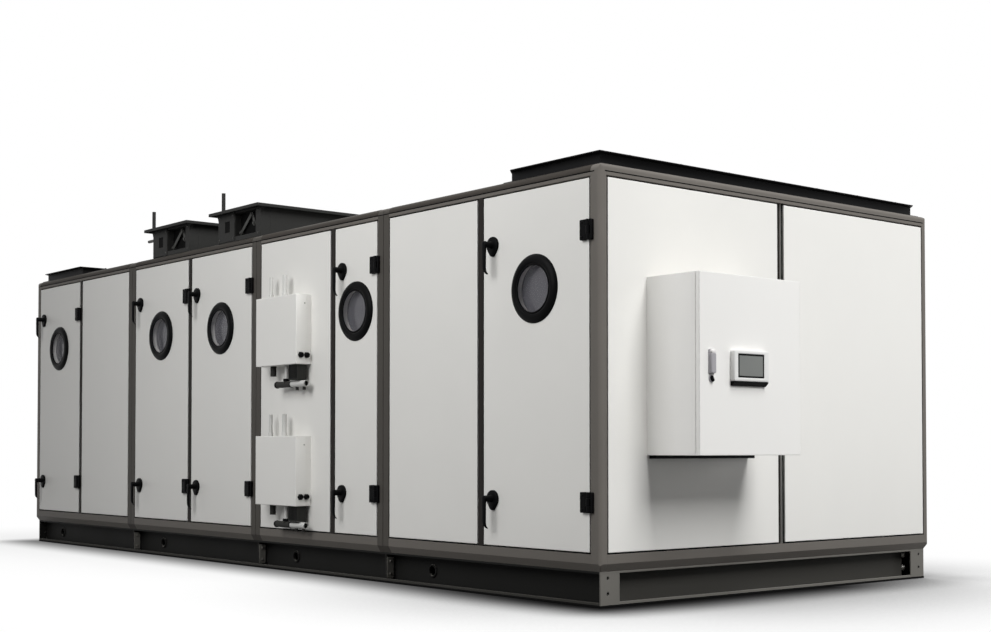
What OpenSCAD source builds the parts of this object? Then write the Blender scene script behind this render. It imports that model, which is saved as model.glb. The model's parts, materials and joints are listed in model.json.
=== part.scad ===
// Modular air handling unit: four bolted sections on channel bases, hinged service doors with
// round windows, two roof dampers, two roof duct collars, two wall-hung valve boxes and a control box.
// X runs along the unit towards the control end, the service doors face -Y, and Z is up.

/* [Sections] */
// Length of the supply section, at the control end
supply_l = 1680; // [1500:10:2000]
// Length of the coil section
coil_l = 1330; // [1200:10:1600]
// Length of the mixing section, under the two dampers
mixing_l = 1680; // [1600:10:2000]
// Length of the return section, at the far end
return_l = 1650; // [1500:10:2000]
// Width of the casing, from the service side to the back
casing_w = 2520; // [2200:10:3000]
// Height of the casing on its base
casing_h = 1850; // [1750:10:2100]
// Centre of the supply section's mullion from the control end
supply_mullion = 850; // [780:10:900]
// Centre of the coil section's mullion from that section's start
coil_mullion = 490; // [470:10:560]
// Centre of the mixing section's mullion from that section's start
mixing_mullion = 840; // [800:10:880]
// Centre of the return section's mullion from that section's start
return_mullion = 840; // [780:10:860]

/* [Frame profiles] */
// Width of the corner posts on the long sides, and depth of every profile
post_w = 60; // [56:1:70]
// Width of the corner posts on the ends
end_post_w = 44; // [40:1:60]
// Width of the double post where two sections meet
joint_post_w = 104; // [92:1:130]
// Width of the mullions between two bays
mullion_w = 36; // [36:1:50]
// How far the mullions of the ends stand back
end_mullion_in = 24; // [10:1:30]
// Height of the top rails
top_rail_h = 55; // [50:1:75]
// Height of the bottom rails
bottom_rail_h = 78; // [70:1:110]
// Radius of the upright corners and of the top edge of the ends
edge_r = 20; // [8:1:24]
// Radius of the top edge of the long sides
roof_r = 32; // [20:1:36]
// How far the foot of the casing tapers in
foot_bevel = 20; // [10:1:24]
// Height of that taper
foot_bevel_h = 36; // [20:1:50]
// Width of the seam groove between two sections
seam_w = 4; // [2:0.5:6]
// Depth of the seam groove
seam_d = 6; // [3:0.5:9]

/* [Panels] */
// Thickness of the insulated panels
panel_t = 50; // [44:1:56]
// Gap that shows round every panel and door
reveal = 8; // [6:0.5:10]
// Depth of that gap on a fixed panel
reveal_d = 12; // [8:1:16]

/* [Base] */
// Height of the base channels
base_h = 162; // [120:1:200]
// How far the base stands in from the casing
base_inset = 20; // [10:1:30]
// Depth of the channels
base_recess = 60; // [40:1:70]
// Wall of the channels
base_t = 6; // [4:0.5:8]
// Height of the lower lip on the channels
base_lip = 22; // [12:1:26]
// Height of the upper lip on the channels
base_top_lip = 10; // [8:1:20]
// Width of the corner plates at both ends
corner_plate_w = 121; // [90:1:140]
// Bolt hole in a corner plate
plate_hole_d = 16; // [12:1:20]
// Distance of the bolt holes from the plate's outer edge
plate_hole_in = 47; // [30:1:55]
// Height of the lower bolt hole
plate_hole_z = 61; // [36:1:66]
// Distance between the two bolt holes
plate_hole_gap = 71; // [50:1:80]
// Lifting hole in the side channels
lift_hole_d = 50; // [40:1:60]
// Distance of a lifting hole from its section's far end
lift_hole_in = 340; // [250:10:400]

/* [Doors] */
// Thickness of a door leaf
leaf_t = 45; // [40:1:48]
// Thickness of the leaf's full-size front part
leaf_front_t = 25; // [20:1:30]
// How far the leaf's inner part steps in
leaf_step = 6; // [5:1:10]
// Height of the middle of the door windows
window_z = 1475; // [1400:1:1520]
// Outer diameter of a window's ring
window_ring_d = 330; // [310:1:350]
// Diameter of the glass that shows
window_d = 222; // [210:1:240]
// How far the ring stands proud
window_ring_t = 16; // [14:1:20]
// How far the glass stands proud
window_out = 8; // [7:0.5:10]
// Thickness of a window pane
pane_t = 6; // [4:0.5:8]
// Height of the lower handle and hinge
fitting_low_z = 474; // [420:1:520]
// Height of the upper handle and hinge
fitting_high_z = 1712; // [1650:1:1760]
// Distance of the hinge pin from the face of the casing
hinge_out = 12; // [11.5:0.1:13]
// Height of a hinge
hinge_h = 102; // [90:1:120]
// Distance of a handle from the door's free edge
handle_in = 72; // [65:1:85]
// Width of a handle's rose
rose_d = 72; // [64:1:92]
// Height of a handle's drop-shaped rose
rose_h = 88; // [84:1:130]
// Length of a handle's lever
lever_l = 142; // [120:1:170]
// Reach of a handle from the door
handle_reach = 66; // [60:1:75]

/* [Roof] */
// Height of the duct collars
collar_h = 60; // [40:1:80]
// Length of the near duct collar
near_collar_l = 624; // [500:1:700]
// Length of the far duct collar
far_collar_l = 640; // [500:1:700]
// Width of a collar's flange towards the control end and the service side
collar_flange = 40; // [25:1:45]
// Width of that flange on the other two sides
collar_lip = 16; // [10:1:30]
// Sheet thickness of the collars
collar_t = 5; // [3:0.5:8]
// Length of a damper along the unit
damper_l = 512; // [480:1:520]
// Height of a damper
damper_h = 194; // [190:1:230]
// Distance of a damper from the service side
damper_in = 20; // [20:1:50]
// Thickness of a damper's walls
damper_wall = 70; // [68:1:80]
// Distance of the far damper's middle from its section's start
damper_1_in = 1151; // [1100:1:1180]
// Distance of the near damper's middle from its section's start
damper_2_in = 250; // [250:1:300]
// Overhang of the flange on top of a damper
damper_flange = 45; // [25:1:50]
// Height of the upright rod on a damper
damper_rod_h = 120; // [100:1:160]
// Diameter of that rod
damper_rod_d = 24; // [12:1:28]
// Distance of the far damper's rod from that damper's middle
damper_1_rod = 227; // [100:1:240]
// Distance of the near damper's rod from that damper's middle
damper_2_rod = 175; // [100:1:240]

/* [Valve boxes] */
// Width of a valve box
valve_box_w = 444; // [420:1:520]
// Height of a valve box
valve_box_h = 400; // [360:1:420]
// Depth of a valve box
valve_box_d = 100; // [85:1:140]
// Distance of a valve box from its bay's near side
valve_box_in = 209; // [100:1:230]
// Bottom of the upper valve box
valve_high_z = 1202; // [1180:1:1230]
// Bottom of the lower valve box
valve_low_z = 390; // [380:1:420]
// Diameter of the pipe stubs on top of a valve box
stub_d = 28; // [22:1:36]
// Height of the pipe stubs over a valve box
stub_h = 128; // [100:1:160]
// Depth of the lower pipe's middle under a valve box
lower_pipe_drop = 112; // [104:1:135]
// Diameter of the lower pipe
lower_pipe_d = 30; // [24:1:34]

/* [Control box] */
// Width of the control box
box_w = 700; // [620:1:760]
// Height of the control box
box_h = 825; // [740:1:860]
// Depth of the control box behind its door
box_d = 303; // [200:1:320]
// Distance of the control box from the service side
box_in = 300; // [250:1:350]
// Bottom of the control box
box_z = 687; // [640:1:720]
// Wall of the control box
box_t = 4; // [2.5:0.5:6]
// Thickness of the control box door
box_door_t = 23; // [18:1:30]
// Gap behind the control box door
box_gap = 2; // [1.5:0.5:4]
// How far the control box handle stands proud
box_handle_out = 18; // [14:1:24]
// Width of the control box handle
box_handle_w = 40; // [34:1:46]
// Height of the control box handle
box_handle_h = 113; // [100:1:130]
// Width of the touch panel
touch_w = 240; // [225:1:260]
// Height of the touch panel
touch_h = 142; // [134:1:160]
// Thickness of the touch panel
touch_t = 26; // [20:1:32]
// Width of the touch panel's screen
screen_w = 179; // [160:1:190]
// Height of the touch panel's screen
screen_h = 109; // [100:1:116]

/* [Hidden] */
$fn = 64;
eps = 1;
pin_gap = 0.3;
casing_l = supply_l + coil_l + mixing_l + return_l;
joints = [supply_l, supply_l + coil_l, supply_l + coil_l + mixing_l];
front_proud = max(valve_box_d, handle_reach);
end_proud = box_d + box_gap + box_door_t + max(box_handle_out, touch_t);
near_x = (casing_l - end_proud) / 2;
far_x = near_x - casing_l;
front_y = -(casing_w - front_proud) / 2;
back_y = front_y + casing_w;
top_z = base_h + casing_h;
bay_z0 = base_h + bottom_rail_h;
bay_z1 = top_z - top_rail_h;
half_joint = joint_post_w / 2;
half_mullion = mullion_w / 2;
sheet_joint = 1;
end_rail_d = post_w - sheet_joint;

// Inner faces of the posts that bound each section, and the mullion between its two bays
section_from = [post_w, for (j = joints) j + half_joint];
section_to = [for (j = joints) j - half_joint, casing_l - post_w];
mullions_s = [
    supply_mullion,
    joints[0] + coil_mullion,
    joints[1] + mixing_mullion,
    joints[2] + return_mullion
];
bays = [
    for (i = [0:3]) each [
        [section_from[i], mullions_s[i] - half_mullion],
        [mullions_s[i] + half_mullion, section_to[i]]
    ]
];
// Bays of doors 1 to 5, counted from the far end, and of the fixed front panels
door_bays = [bays[7], bays[5], bays[4], bays[2], bays[0]];
panel_bays = [bays[1], bays[3], bays[6]];
end_bays = [
    [end_post_w, casing_w / 2 - half_mullion],
    [casing_w / 2 + half_mullion, casing_w - end_post_w]
];
fittings_z = [fitting_low_z, fitting_high_z];

panel_white = [0.88, 0.88, 0.86];
frame_grey = [0.37, 0.36, 0.34];
base_grey = [0.29, 0.29, 0.28];
black = [0.07, 0.07, 0.07];
damper_grey = [0.25, 0.25, 0.24];
steel_grey = [0.55, 0.55, 0.54];
glass_grey = [0.35, 0.35, 0.40];

// Places. s is the distance from the control end, d the depth behind the service face.

// A block between two distances, two depths and two heights
module slab(s0, s1, d0, d1, z0, z1) {
    translate([near_x - s1, front_y + d0, z0])
        cube([s1 - s0, d1 - d0, z1 - z0]);
}

// On the service face: local x along the unit, local y up, local z outwards
module on_front(s, z) {
    translate([near_x - s, front_y, z]) rotate([90, 0, 0]) children();
}

// On the back face, with local x the other way
module on_back(s, z) {
    translate([near_x - s, back_y, z]) rotate([90, 0, 180]) children();
}

// On the control end, with local x towards the back
module on_near_end(t, z) {
    translate([near_x, front_y + t, z]) rotate([90, 0, 90]) children();
}

// On the far end, with local x towards the service side
module on_far_end(t, z) {
    translate([far_x, front_y + t, z]) rotate([90, 0, -90]) children();
}

// The same piece on the service side and the back
module both_sides() {
    children();
    mirror_back() children();
}

module mirror_back() {
    translate([0, front_y + back_y, 0]) mirror([0, 1, 0]) children();
}

// The same piece at the control end and the far end
module both_ends() {
    children();
    translate([near_x + far_x, 0, 0]) mirror([1, 0, 0]) children();
}

// A profile drawn in depth and height, run along the unit between two distances
module run_along(s0, s1) {
    translate([near_x - s1, front_y, 0]) rotate([90, 0, 90])
        linear_extrude(s1 - s0) children();
}

// A profile drawn in depth from the control end and height, run across the unit
module run_across(t0, t1) {
    translate([near_x, front_y + t1, 0]) mirror([1, 0, 0]) rotate([90, 0, 0])
        linear_extrude(t1 - t0) children();
}

// Base

// A channel that is open outwards, with a lip on each flange
module channel_profile() {
    difference() {
        translate([base_inset, 0]) square([base_recess + base_t, base_h]);
        translate([base_inset + base_t, base_t])
            square([base_recess - base_t, base_h - 2 * base_t]);
        translate([base_inset - eps, base_lip])
            square([base_t + 2 * eps, base_h - base_lip - base_top_lip]);
    }
}

module side_channel() {
    from = base_inset + base_t;
    difference() {
        union() {
            run_along(from, casing_l - from) channel_profile();
            for (j = joints)
                slab(j - base_t, j + base_t, base_inset, base_inset + base_recess + base_t, 0, base_h);
        }
        for (j = [joints[0], joints[1], joints[2], casing_l])
            on_front(j - lift_hole_in, base_h / 2)
                translate([0, 0, -base_inset - base_recess - 2 * base_t])
                    cylinder(d = lift_hole_d, h = 3 * base_t);
    }
}

module base_side_channels() {
    color(base_grey) both_sides() side_channel();
}

module corner_plate() {
    difference() {
        translate([0, 0, -base_inset - base_t]) cube([corner_plate_w, base_h, base_t]);
        for (z = [plate_hole_z, plate_hole_z + plate_hole_gap])
            translate([plate_hole_in, z, -base_inset - base_t - eps])
                cylinder(d = plate_hole_d, h = base_t + 2 * eps);
    }
}

module end_channel() {
    from = base_inset + corner_plate_w;
    run_across(from - eps, casing_w - from + eps) channel_profile();
    on_near_end(base_inset, 0) corner_plate();
    on_near_end(casing_w - base_inset, 0) mirror([1, 0, 0]) corner_plate();
}

module base_end_channels() {
    color(base_grey) both_ends() end_channel();
}

module base_cross_members() {
    web = base_inset + base_recess + base_t;
    color(base_grey)
        for (j = joints) difference() {
            slab(j - base_recess / 2, j + base_recess / 2, web, casing_w - web, 0, base_h);
            slab(j - base_recess / 2 + base_t, j + base_recess / 2 + eps, web - eps, casing_w - web + eps,
                base_t, base_h - base_t);
        }
}

// Frame

// Outline of the casing's edge in depth and height: tapered at the foot, rounded at the top
module edge_profile(r) {
    polygon([
        [foot_bevel, base_h],
        [post_w, base_h],
        [post_w, top_z - r],
        [0, top_z - r],
        [0, base_h + foot_bevel_h]
    ]);
    intersection() {
        translate([r, top_z - r]) circle(r);
        translate([0, top_z - r - eps]) square(r + eps);
    }
    translate([r, top_z - r]) square([post_w - r, r]);
}

// Part of that outline between two heights, down to a depth
module edge_band(r, depth, z0, z1) {
    intersection() {
        edge_profile(r);
        translate([-eps, z0]) square([depth + eps, z1 - z0]);
    }
}

module bottom_rails() {
    color(frame_grey) {
        both_sides() for (i = [0:3])
            run_along(section_from[i], section_to[i]) edge_band(roof_r, post_w, base_h, bay_z0);
        both_ends() run_across(end_post_w, casing_w - end_post_w)
            edge_band(edge_r, end_rail_d, base_h, bay_z0);
    }
}

module top_rails() {
    color(frame_grey) {
        both_sides() for (i = [0:3])
            run_along(section_from[i], section_to[i]) edge_band(roof_r, post_w, bay_z1, top_z);
        both_ends() run_across(end_post_w, casing_w - end_post_w)
            edge_band(edge_r, end_rail_d, bay_z1, top_z);
        for (j = joints)
            slab(j - half_joint, j + half_joint, post_w, casing_w - post_w, bay_z1, top_z);
    }
}

module corner_post() {
    intersection() {
        translate([near_x - post_w, front_y, base_h]) linear_extrude(casing_h) union() {
            translate([0, edge_r]) square([post_w, end_post_w - edge_r]);
            square([post_w - edge_r, end_post_w]);
            translate([post_w - edge_r, edge_r]) circle(edge_r);
        }
        run_along(0, post_w) edge_profile(roof_r);
        run_across(0, end_post_w) edge_profile(edge_r);
    }
}

module corner_posts() {
    color(frame_grey) both_ends() both_sides() corner_post();
}

module section_posts() {
    color(frame_grey)
        for (j = joints) both_sides() difference() {
            run_along(j - half_joint, j + half_joint) edge_profile(roof_r);
            slab(j - seam_w / 2, j + seam_w / 2, -eps, seam_d, base_h - eps, top_z + eps);
        }
}

module mullions() {
    color(frame_grey) {
        both_sides() for (s = mullions_s)
            slab(s - half_mullion, s + half_mullion, 0, post_w, bay_z0, bay_z1);
        both_ends()
            slab(end_mullion_in, post_w, casing_w / 2 - half_mullion, casing_w / 2 + half_mullion,
                bay_z0, bay_z1);
    }
}

// Panels

// An insulated panel of one bay, its face set in from the frame by the reveal
module wall_panel(bay) {
    w = bay[1] - bay[0];
    h = bay_z1 - bay_z0;
    translate([0, 0, -panel_t]) cube([w, h, panel_t - reveal_d]);
    translate([reveal, reveal, -reveal_d - eps]) cube([w - 2 * reveal, h - 2 * reveal, reveal_d + eps]);
}

module front_panels() {
    color(panel_white) for (bay = panel_bays) on_front(bay[1], bay_z0) wall_panel(bay);
}

module back_panels() {
    color(panel_white) for (bay = bays) on_back(bay[0], bay_z0) wall_panel(bay);
}

module end_panels() {
    color(panel_white) for (bay = end_bays) {
        on_near_end(bay[0], bay_z0) wall_panel(bay);
        on_far_end(bay[1], bay_z0) wall_panel(bay);
    }
}

// Where the dampers and collars stand, and the holes in the roof under them
damper_1_s = joints[1] + damper_1_in;
damper_2_s = joints[1] + damper_2_in;
damper_hole_l = damper_l - 2 * damper_wall;
damper_back = casing_w - post_w;
damper_hole_d = [damper_in + damper_wall, damper_back - damper_wall];
near_collar_to = post_w + near_collar_l;
far_collar_from = casing_l - post_w - far_collar_l;

module roof_slab(s0, s1, d0, d1) {
    slab(s0, s1, d0, d1, top_z - panel_t, top_z);
}

// A section's roof with openings of one depth: full strips between them, short ones before and behind
module roof_round(from, to, holes, depth) {
    ends = [from, for (h = holes) each h, to];
    for (i = [0:2:len(ends) - 1])
        roof_slab(ends[i], ends[i + 1], post_w, casing_w - post_w);
    for (h = holes) {
        roof_slab(h[0] + sheet_joint, h[1] - sheet_joint, post_w, depth[0]);
        roof_slab(h[0] + sheet_joint, h[1] - sheet_joint, depth[1], casing_w - post_w);
    }
}

module roof_panels() {
    damper_holes = [
        for (s = [damper_2_s, damper_1_s]) [s - damper_hole_l / 2, s + damper_hole_l / 2]
    ];
    color(panel_white) {
        roof_slab(near_collar_to - collar_t, section_to[0], post_w, casing_w - post_w);
        roof_slab(section_from[1], section_to[1], post_w, casing_w - post_w);
        roof_round(section_from[2], section_to[2], damper_holes, damper_hole_d);
        roof_slab(section_from[3], far_collar_from + collar_t, post_w, casing_w - post_w);
    }
}

module floor_panels() {
    floor_from = [post_w, for (j = joints) j + seam_w / 2];
    floor_to = [for (j = joints) j - seam_w / 2, casing_l - post_w];
    color(panel_white) for (i = [0:3])
        slab(floor_from[i], floor_to[i], post_w, casing_w - post_w, base_h, base_h + panel_t);
}

// Roof

// A duct collar of Z-shaped sheet: a foot on the roof, an upstand and a flange round the top
module collar(s0, s1) {
    d0 = post_w;
    d1 = casing_w - post_w;
    top = top_z + collar_h;
    foot = collar_flange * 3 / 4;
    difference() {
        union() {
            slab(s0 - foot, s1 + foot, d0 - foot, d1 + foot, top_z, top_z + collar_t);
            slab(s0, s1, d0, d1, top_z, top);
            slab(s0 - collar_flange, s1 + collar_lip, d0 - collar_flange, d1 + collar_lip,
                top - collar_t, top);
        }
        slab(s0 + collar_t, s1 - collar_t, d0 + collar_t, d1 - collar_t, top_z - eps, top + eps);
    }
}

module roof_collars() {
    color(black) {
        collar(post_w, near_collar_to);
        collar(far_collar_from, casing_l - post_w);
    }
}

// Dampers

damper_flange_t = 6;
damper_recess = 44;
damper_rim = 52;
damper_post = 210;
damper_rail = 28;
damper_head = 14;
gusset = 40;
gusset_t = 20;
gusset_edge = 4;
rod_out = 10;
damper_top = top_z + damper_h - damper_flange_t;
blade_count = 3;
blade_t = 14;
blade_edge = 2;
blade_gap = 2;
shaft_r = 8;
shaft_end = 16;
blade_z = top_z + damper_h / 2;
blade_pitch = damper_hole_l / blade_count;
function blade_s(s, i) = s + (i - (blade_count - 1) / 2) * blade_pitch;

// Curved stiffeners under the flange, beyond both ends of a wall
module gussets() {
    for (side = [0, 1]) mirror([side, 0, 0]) translate([damper_l / 2, 0, 0])
        linear_extrude(gusset_t) difference() {
            translate([0, -gusset]) square(gusset);
            translate([gusset + gusset_edge, -gusset - gusset_edge]) circle(gusset);
        }
}

// The long walls of a damper: the one on the service side has a recess for the linkage
module damper_long_walls(s) {
    s0 = s - damper_l / 2;
    s1 = s + damper_l / 2;
    difference() {
        union() {
            slab(s0, s1, damper_in, damper_in + damper_wall, top_z, damper_top);
            slab(s0, s1, damper_back - damper_wall, damper_back, top_z, damper_top);
            on_front(s, damper_top) translate([0, 0, -damper_in - gusset_t]) gussets();
            on_front(s, damper_top) translate([0, 0, -damper_back]) gussets();
        }
        slab(s0 + damper_rim, s1 - damper_post, damper_in - eps, damper_in + damper_recess,
            top_z + damper_rail, damper_top - damper_head);
        for (i = [0:blade_count - 1])
            on_front(blade_s(s, i), blade_z) translate([0, 0, -damper_hole_d[1] - shaft_end - eps])
                cylinder(r = shaft_r + pin_gap,
                    h = damper_hole_d[1] + shaft_end + 2 * eps - damper_in - damper_recess);
    }
}

// The same strips twice: along both long sides and, between them, along both short sides
module damper_strips(s, over, z0, z1) {
    s0 = s - damper_l / 2;
    s1 = s + damper_l / 2;
    for (from = [s0 - over, s1 - damper_wall])
        slab(from, from + damper_wall + over,
            damper_hole_d[0] + sheet_joint, damper_hole_d[1] - sheet_joint, z0, z1);
    if (over > 0)
        for (from = [damper_in - over, damper_back - damper_wall])
            slab(s0 - over, s1 + over, from, from + damper_wall + over, z0, z1);
}

module damper_frames() {
    color(damper_grey) for (s = [damper_1_s, damper_2_s]) {
        damper_long_walls(s);
        damper_strips(s, 0, top_z, damper_top);
    }
}

module damper_flanges() {
    color(damper_grey) for (at = [[damper_1_s, damper_1_rod], [damper_2_s, damper_2_rod]]) {
        damper_strips(at[0], damper_flange, damper_top, top_z + damper_h);
        on_front(at[0] + at[1], top_z + damper_h - eps) translate([0, 0, rod_out - damper_in])
            rotate([-90, 0, 0]) cylinder(d = damper_rod_d, h = damper_rod_h + eps);
    }
}

module damper_blade(s) {
    from = damper_hole_d[0] + blade_gap;
    to = damper_hole_d[1] - blade_gap;
    half = blade_pitch / 2 - blade_gap;
    edge = blade_edge / 2;
    on_front(s, blade_z) translate([0, 0, -to]) {
        linear_extrude(to - from) polygon([
            [-half, -edge], [-half, edge], [0, blade_t / 2], [half, edge], [half, -edge], [0, -blade_t / 2]
        ]);
        translate([0, 0, -shaft_end])
            cylinder(r = shaft_r, h = to - damper_in - damper_recess + shaft_end);
    }
}

module damper_blades() {
    color(steel_grey) for (s = [damper_1_s, damper_2_s], i = [0:blade_count - 1])
        damper_blade(blade_s(s, i));
}

// In a damper's recess: a crank on the near blade's shaft and the bar down to the drive
crank_l = 63;
crank_lean = 18;
crank_w = 22;
crank_t = 8;
crank_hub_r = 16;
crank_pivot_r = 13;
link_run = 126;
link_drop = 106;
spindle_l = 55;
spindle_d = 14;
spindle_drop = 60;
module damper_linkage(s) {
    tip = [-crank_l * sin(crank_lean), crank_l * cos(crank_lean)];
    on_front(blade_s(s, 0), blade_z) translate([0, 0, -damper_in - damper_recess]) {
        cylinder(r = crank_hub_r, h = crank_t);
        rotate([0, 0, crank_lean]) translate([-crank_w / 2, 0, 0]) cube([crank_w, crank_l, crank_t]);
        translate([tip[0], tip[1], 0]) {
            cylinder(r = crank_pivot_r, h = 2 * crank_t);
            rotate([0, 0, 180 + atan2(link_drop, link_run)]) translate([0, -crank_w / 2, crank_t])
                cube([norm([link_run, link_drop]), crank_w, crank_t]);
            translate([-link_run, -link_drop, 0]) cylinder(r = crank_hub_r, h = 2 * crank_t);
        }
    }
}

// The end of the far damper's drive spindle, beyond that damper
module drive_spindle() {
    on_front(damper_1_s + damper_l / 2, damper_top - spindle_drop)
        translate([0, 0, -damper_in - damper_wall / 2]) rotate([0, -90, 0])
            cylinder(d = spindle_d, h = spindle_l);
}

module damper_linkages() {
    color(steel_grey) {
        for (s = [damper_1_s, damper_2_s]) damper_linkage(s);
        drive_spindle();
    }
}

// Valve boxes. Places on a box are distances from its far edge.

valve_bay = panel_bays[1];
valve_s0 = valve_bay[0] + valve_box_in;
valve_s1 = valve_s0 + valve_box_w;
valve_boxes_z = [valve_low_z, valve_high_z];
stubs_at = [88, 240];
thin_stub_d = stub_d - 6;
riser_at = 262;
riser_d = 24;
riser_h = 86;
sleeve_at = [161, 321];
sleeve_d = lower_pipe_d + 6;
lower_pipe_l = 158;
cap_at = 115;
cap_d = 35;
cap_h = 60;
block_at = [331, 430];
block_d = 60;
block_h = 90;
clamps_at = [376, 452];
clamp_w = 24;
clamp_foot_d = 18;
clamp_foot_h = 36;
gland_z = 52;
gland_d = 30;
gland_l = 14;
gland_apart = 40;

// In the middle of a valve box's depth: local x along the unit, local y up
module on_valve_box(at, z) {
    on_front(valve_s1 - at, z) translate([0, 0, valve_box_d / 2]) children();
}

module upright(d, h) {
    rotate([-90, 0, 0]) cylinder(d = d, h = h);
}

module lying(d, l) {
    rotate([0, 90, 0]) cylinder(d = d, h = l);
}

module valve_boxes() {
    color(panel_white) for (z = valve_boxes_z)
        slab(valve_s0, valve_s1, -valve_box_d, 0, z, z + valve_box_h);
}

module valve_pipes() {
    color(panel_white) for (z = valve_boxes_z) {
        on_valve_box(stubs_at[0], z + valve_box_h) upright(thin_stub_d, stub_h);
        on_valve_box(stubs_at[1], z + valve_box_h) upright(stub_d, stub_h);
        on_valve_box(riser_at, z - riser_h) upright(riser_d, riser_h);
        on_valve_box(sleeve_at[1], z - lower_pipe_drop) lying(lower_pipe_d, lower_pipe_l);
    }
}

// The black tee under a box: a sleeve in line with the lower pipe and a socket for the riser
module valve_tee() {
    on_valve_box(sleeve_at[0], -lower_pipe_drop) lying(sleeve_d, sleeve_at[1] - sleeve_at[0]);
    on_valve_box(riser_at, -lower_pipe_drop) upright(sleeve_d, lower_pipe_drop - riser_h);
}

// A black clamp round the lower pipe, with a foot
module pipe_clamp() {
    translate([-clamp_w / 2, 0, 0]) difference() {
        union() {
            lying(sleeve_d, clamp_w);
            translate([clamp_w / 2, -clamp_foot_h, 0]) upright(clamp_foot_d, clamp_foot_h);
        }
        translate([-eps, 0, 0]) lying(lower_pipe_d + 2 * pin_gap, clamp_w + 2 * eps);
    }
}

module valve_fittings() {
    color(black) for (z = valve_boxes_z) {
        translate([0, 0, z]) valve_tee();
        on_valve_box(cap_at, z - cap_h) upright(cap_d, cap_h);
        on_valve_box(block_at[0], z - block_h) translate([0, 0, -block_d / 2])
            cube([block_at[1] - block_at[0], block_h, block_d]);
        for (at = clamps_at) on_valve_box(at, z - lower_pipe_drop) pipe_clamp();
        for (side = [-1, 1]) on_valve_box(valve_box_w, z + gland_z)
            translate([0, 0, side * gland_apart / 2]) lying(gland_d, gland_l);
    }
}

// Doors

seal_w = 25;
seal_gap = 4;
module door_seals() {
    seal_d = leaf_t + seal_gap;
    color(black) for (bay = door_bays) {
        for (s = [bay[0], bay[1] - seal_w])
            slab(s, s + seal_w, seal_d, post_w, bay_z0, bay_z1);
        for (z = [bay_z0, bay_z1 - seal_w])
            slab(bay[0] + seal_w + eps, bay[1] - seal_w - eps, seal_d, post_w, z, z + seal_w);
    }
}

window_bore_d = 280;
window_wall = 15;
function bay_middle(bay) = (bay[0] + bay[1]) / 2;

module door_leaf(bay) {
    in = reveal + leaf_step;
    color(panel_white) difference() {
        union() {
            slab(bay[0] + reveal, bay[1] - reveal, 0, leaf_front_t, bay_z0 + reveal, bay_z1 - reveal);
            slab(bay[0] + in, bay[1] - in, leaf_front_t - eps, leaf_t, bay_z0 + in, bay_z1 - in);
        }
        on_front(bay_middle(bay), window_z) translate([0, 0, -leaf_t - eps])
            cylinder(d = window_bore_d, h = leaf_t + 2 * eps);
    }
}

window_lip = 14;
ring_edge_t = 4;
ring_slope = 26;
module door_window_ring(bay) {
    bore_r = window_bore_d / 2 - pin_gap;
    lip_r = window_d / 2;
    ring_r = window_ring_d / 2;
    lip_z = window_out + pin_gap;
    color(black) on_front(bay_middle(bay), window_z) rotate_extrude() {
        polygon([
            [lip_r, lip_z],
            [lip_r + window_lip, lip_z],
            [bore_r - window_wall, 0],
            [ring_r, 0],
            [ring_r, ring_edge_t],
            [ring_r - ring_slope, window_ring_t],
            [lip_r + window_lip / 2, window_ring_t]
        ]);
        translate([bore_r - window_wall, -leaf_t]) square([window_wall, leaf_t + eps]);
    }
}

module door_window_glass(bay) {
    color(glass_grey) on_front(bay_middle(bay), window_z) translate([0, 0, window_out - pane_t])
        cylinder(r = window_d / 2 + window_lip - 2 * pin_gap, h = pane_t);
}

knuckle_r = 11;
knuckle_h = 37;
knuckle_gap = 2;
pin_r = 5;
tongue_in = 3;
hinge_door_w = 38;
hinge_door_t = 18;
hinge_post_w = 12;
hinge_post_t = 14;
function hinge_s(bay) = bay[0] + reveal / 2;

// The plate of a hinge on one side, in front of the face: local x from the pin, local y up
module hinge_plate(w, t) {
    translate([knuckle_r + knuckle_gap, -hinge_h / 2, 0]) cube([w, hinge_h, t]);
}

// A knuckle and the tongue that ties it to its plate
module knuckle(y0, y1, t) {
    translate([0, y0, hinge_out]) upright(2 * knuckle_r, y1 - y0);
    translate([tongue_in, y0, knuckle_r / 2])
        cube([knuckle_r + knuckle_gap + eps - tongue_in, y1 - y0, t - knuckle_r / 2]);
}

module hinge_posts() {
    color(black) for (bay = door_bays, z = fittings_z) on_front(hinge_s(bay), z) {
        hinge_plate(hinge_post_w, hinge_post_t);
        knuckle(-hinge_h / 2, -knuckle_h / 2 - pin_gap, hinge_post_t);
        knuckle(knuckle_h / 2 + pin_gap, hinge_h / 2, hinge_post_t);
        translate([0, -hinge_h / 2, hinge_out]) upright(2 * pin_r, hinge_h);
    }
}

module door_hinge() {
    difference() {
        mirror([1, 0, 0]) {
            hinge_plate(hinge_door_w, hinge_door_t);
            knuckle(-knuckle_h / 2, knuckle_h / 2, hinge_door_t);
        }
        translate([0, -knuckle_h, hinge_out]) upright(2 * (pin_r + pin_gap), 2 * knuckle_h);
    }
}

lever_w = 24;
lever_t = 15;
stem_d = 34;
rose_t = 12;
rose_tip_r = 10;

// Outline of a rose: a disc drawn out to a rounded tip below
module rose_outline() {
    r = rose_d / 2;
    drop = rose_h - r - rose_tip_r;
    lean = asin((r - rose_tip_r) / drop);
    circle(r);
    translate([0, -drop]) circle(rose_tip_r);
    right = [for (at = [[r, 0], [rose_tip_r, drop]]) [at[0] * cos(lean), -at[1] - at[0] * sin(lean)]];
    left = [for (i = [1, 0]) [-right[i][0], right[i][1]]];
    polygon(concat(right, left));
}

module lever_handle() {
    linear_extrude(rose_t) rose_outline();
    cylinder(d = stem_d, h = handle_reach);
    translate([-lever_w / 2, -lever_l, handle_reach - lever_t]) cube([lever_w, lever_l, lever_t]);
    translate([-lever_w / 2, -lever_l, handle_reach - 2 * lever_t]) cube([lever_w, lever_t, 2 * lever_t]);
}

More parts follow.
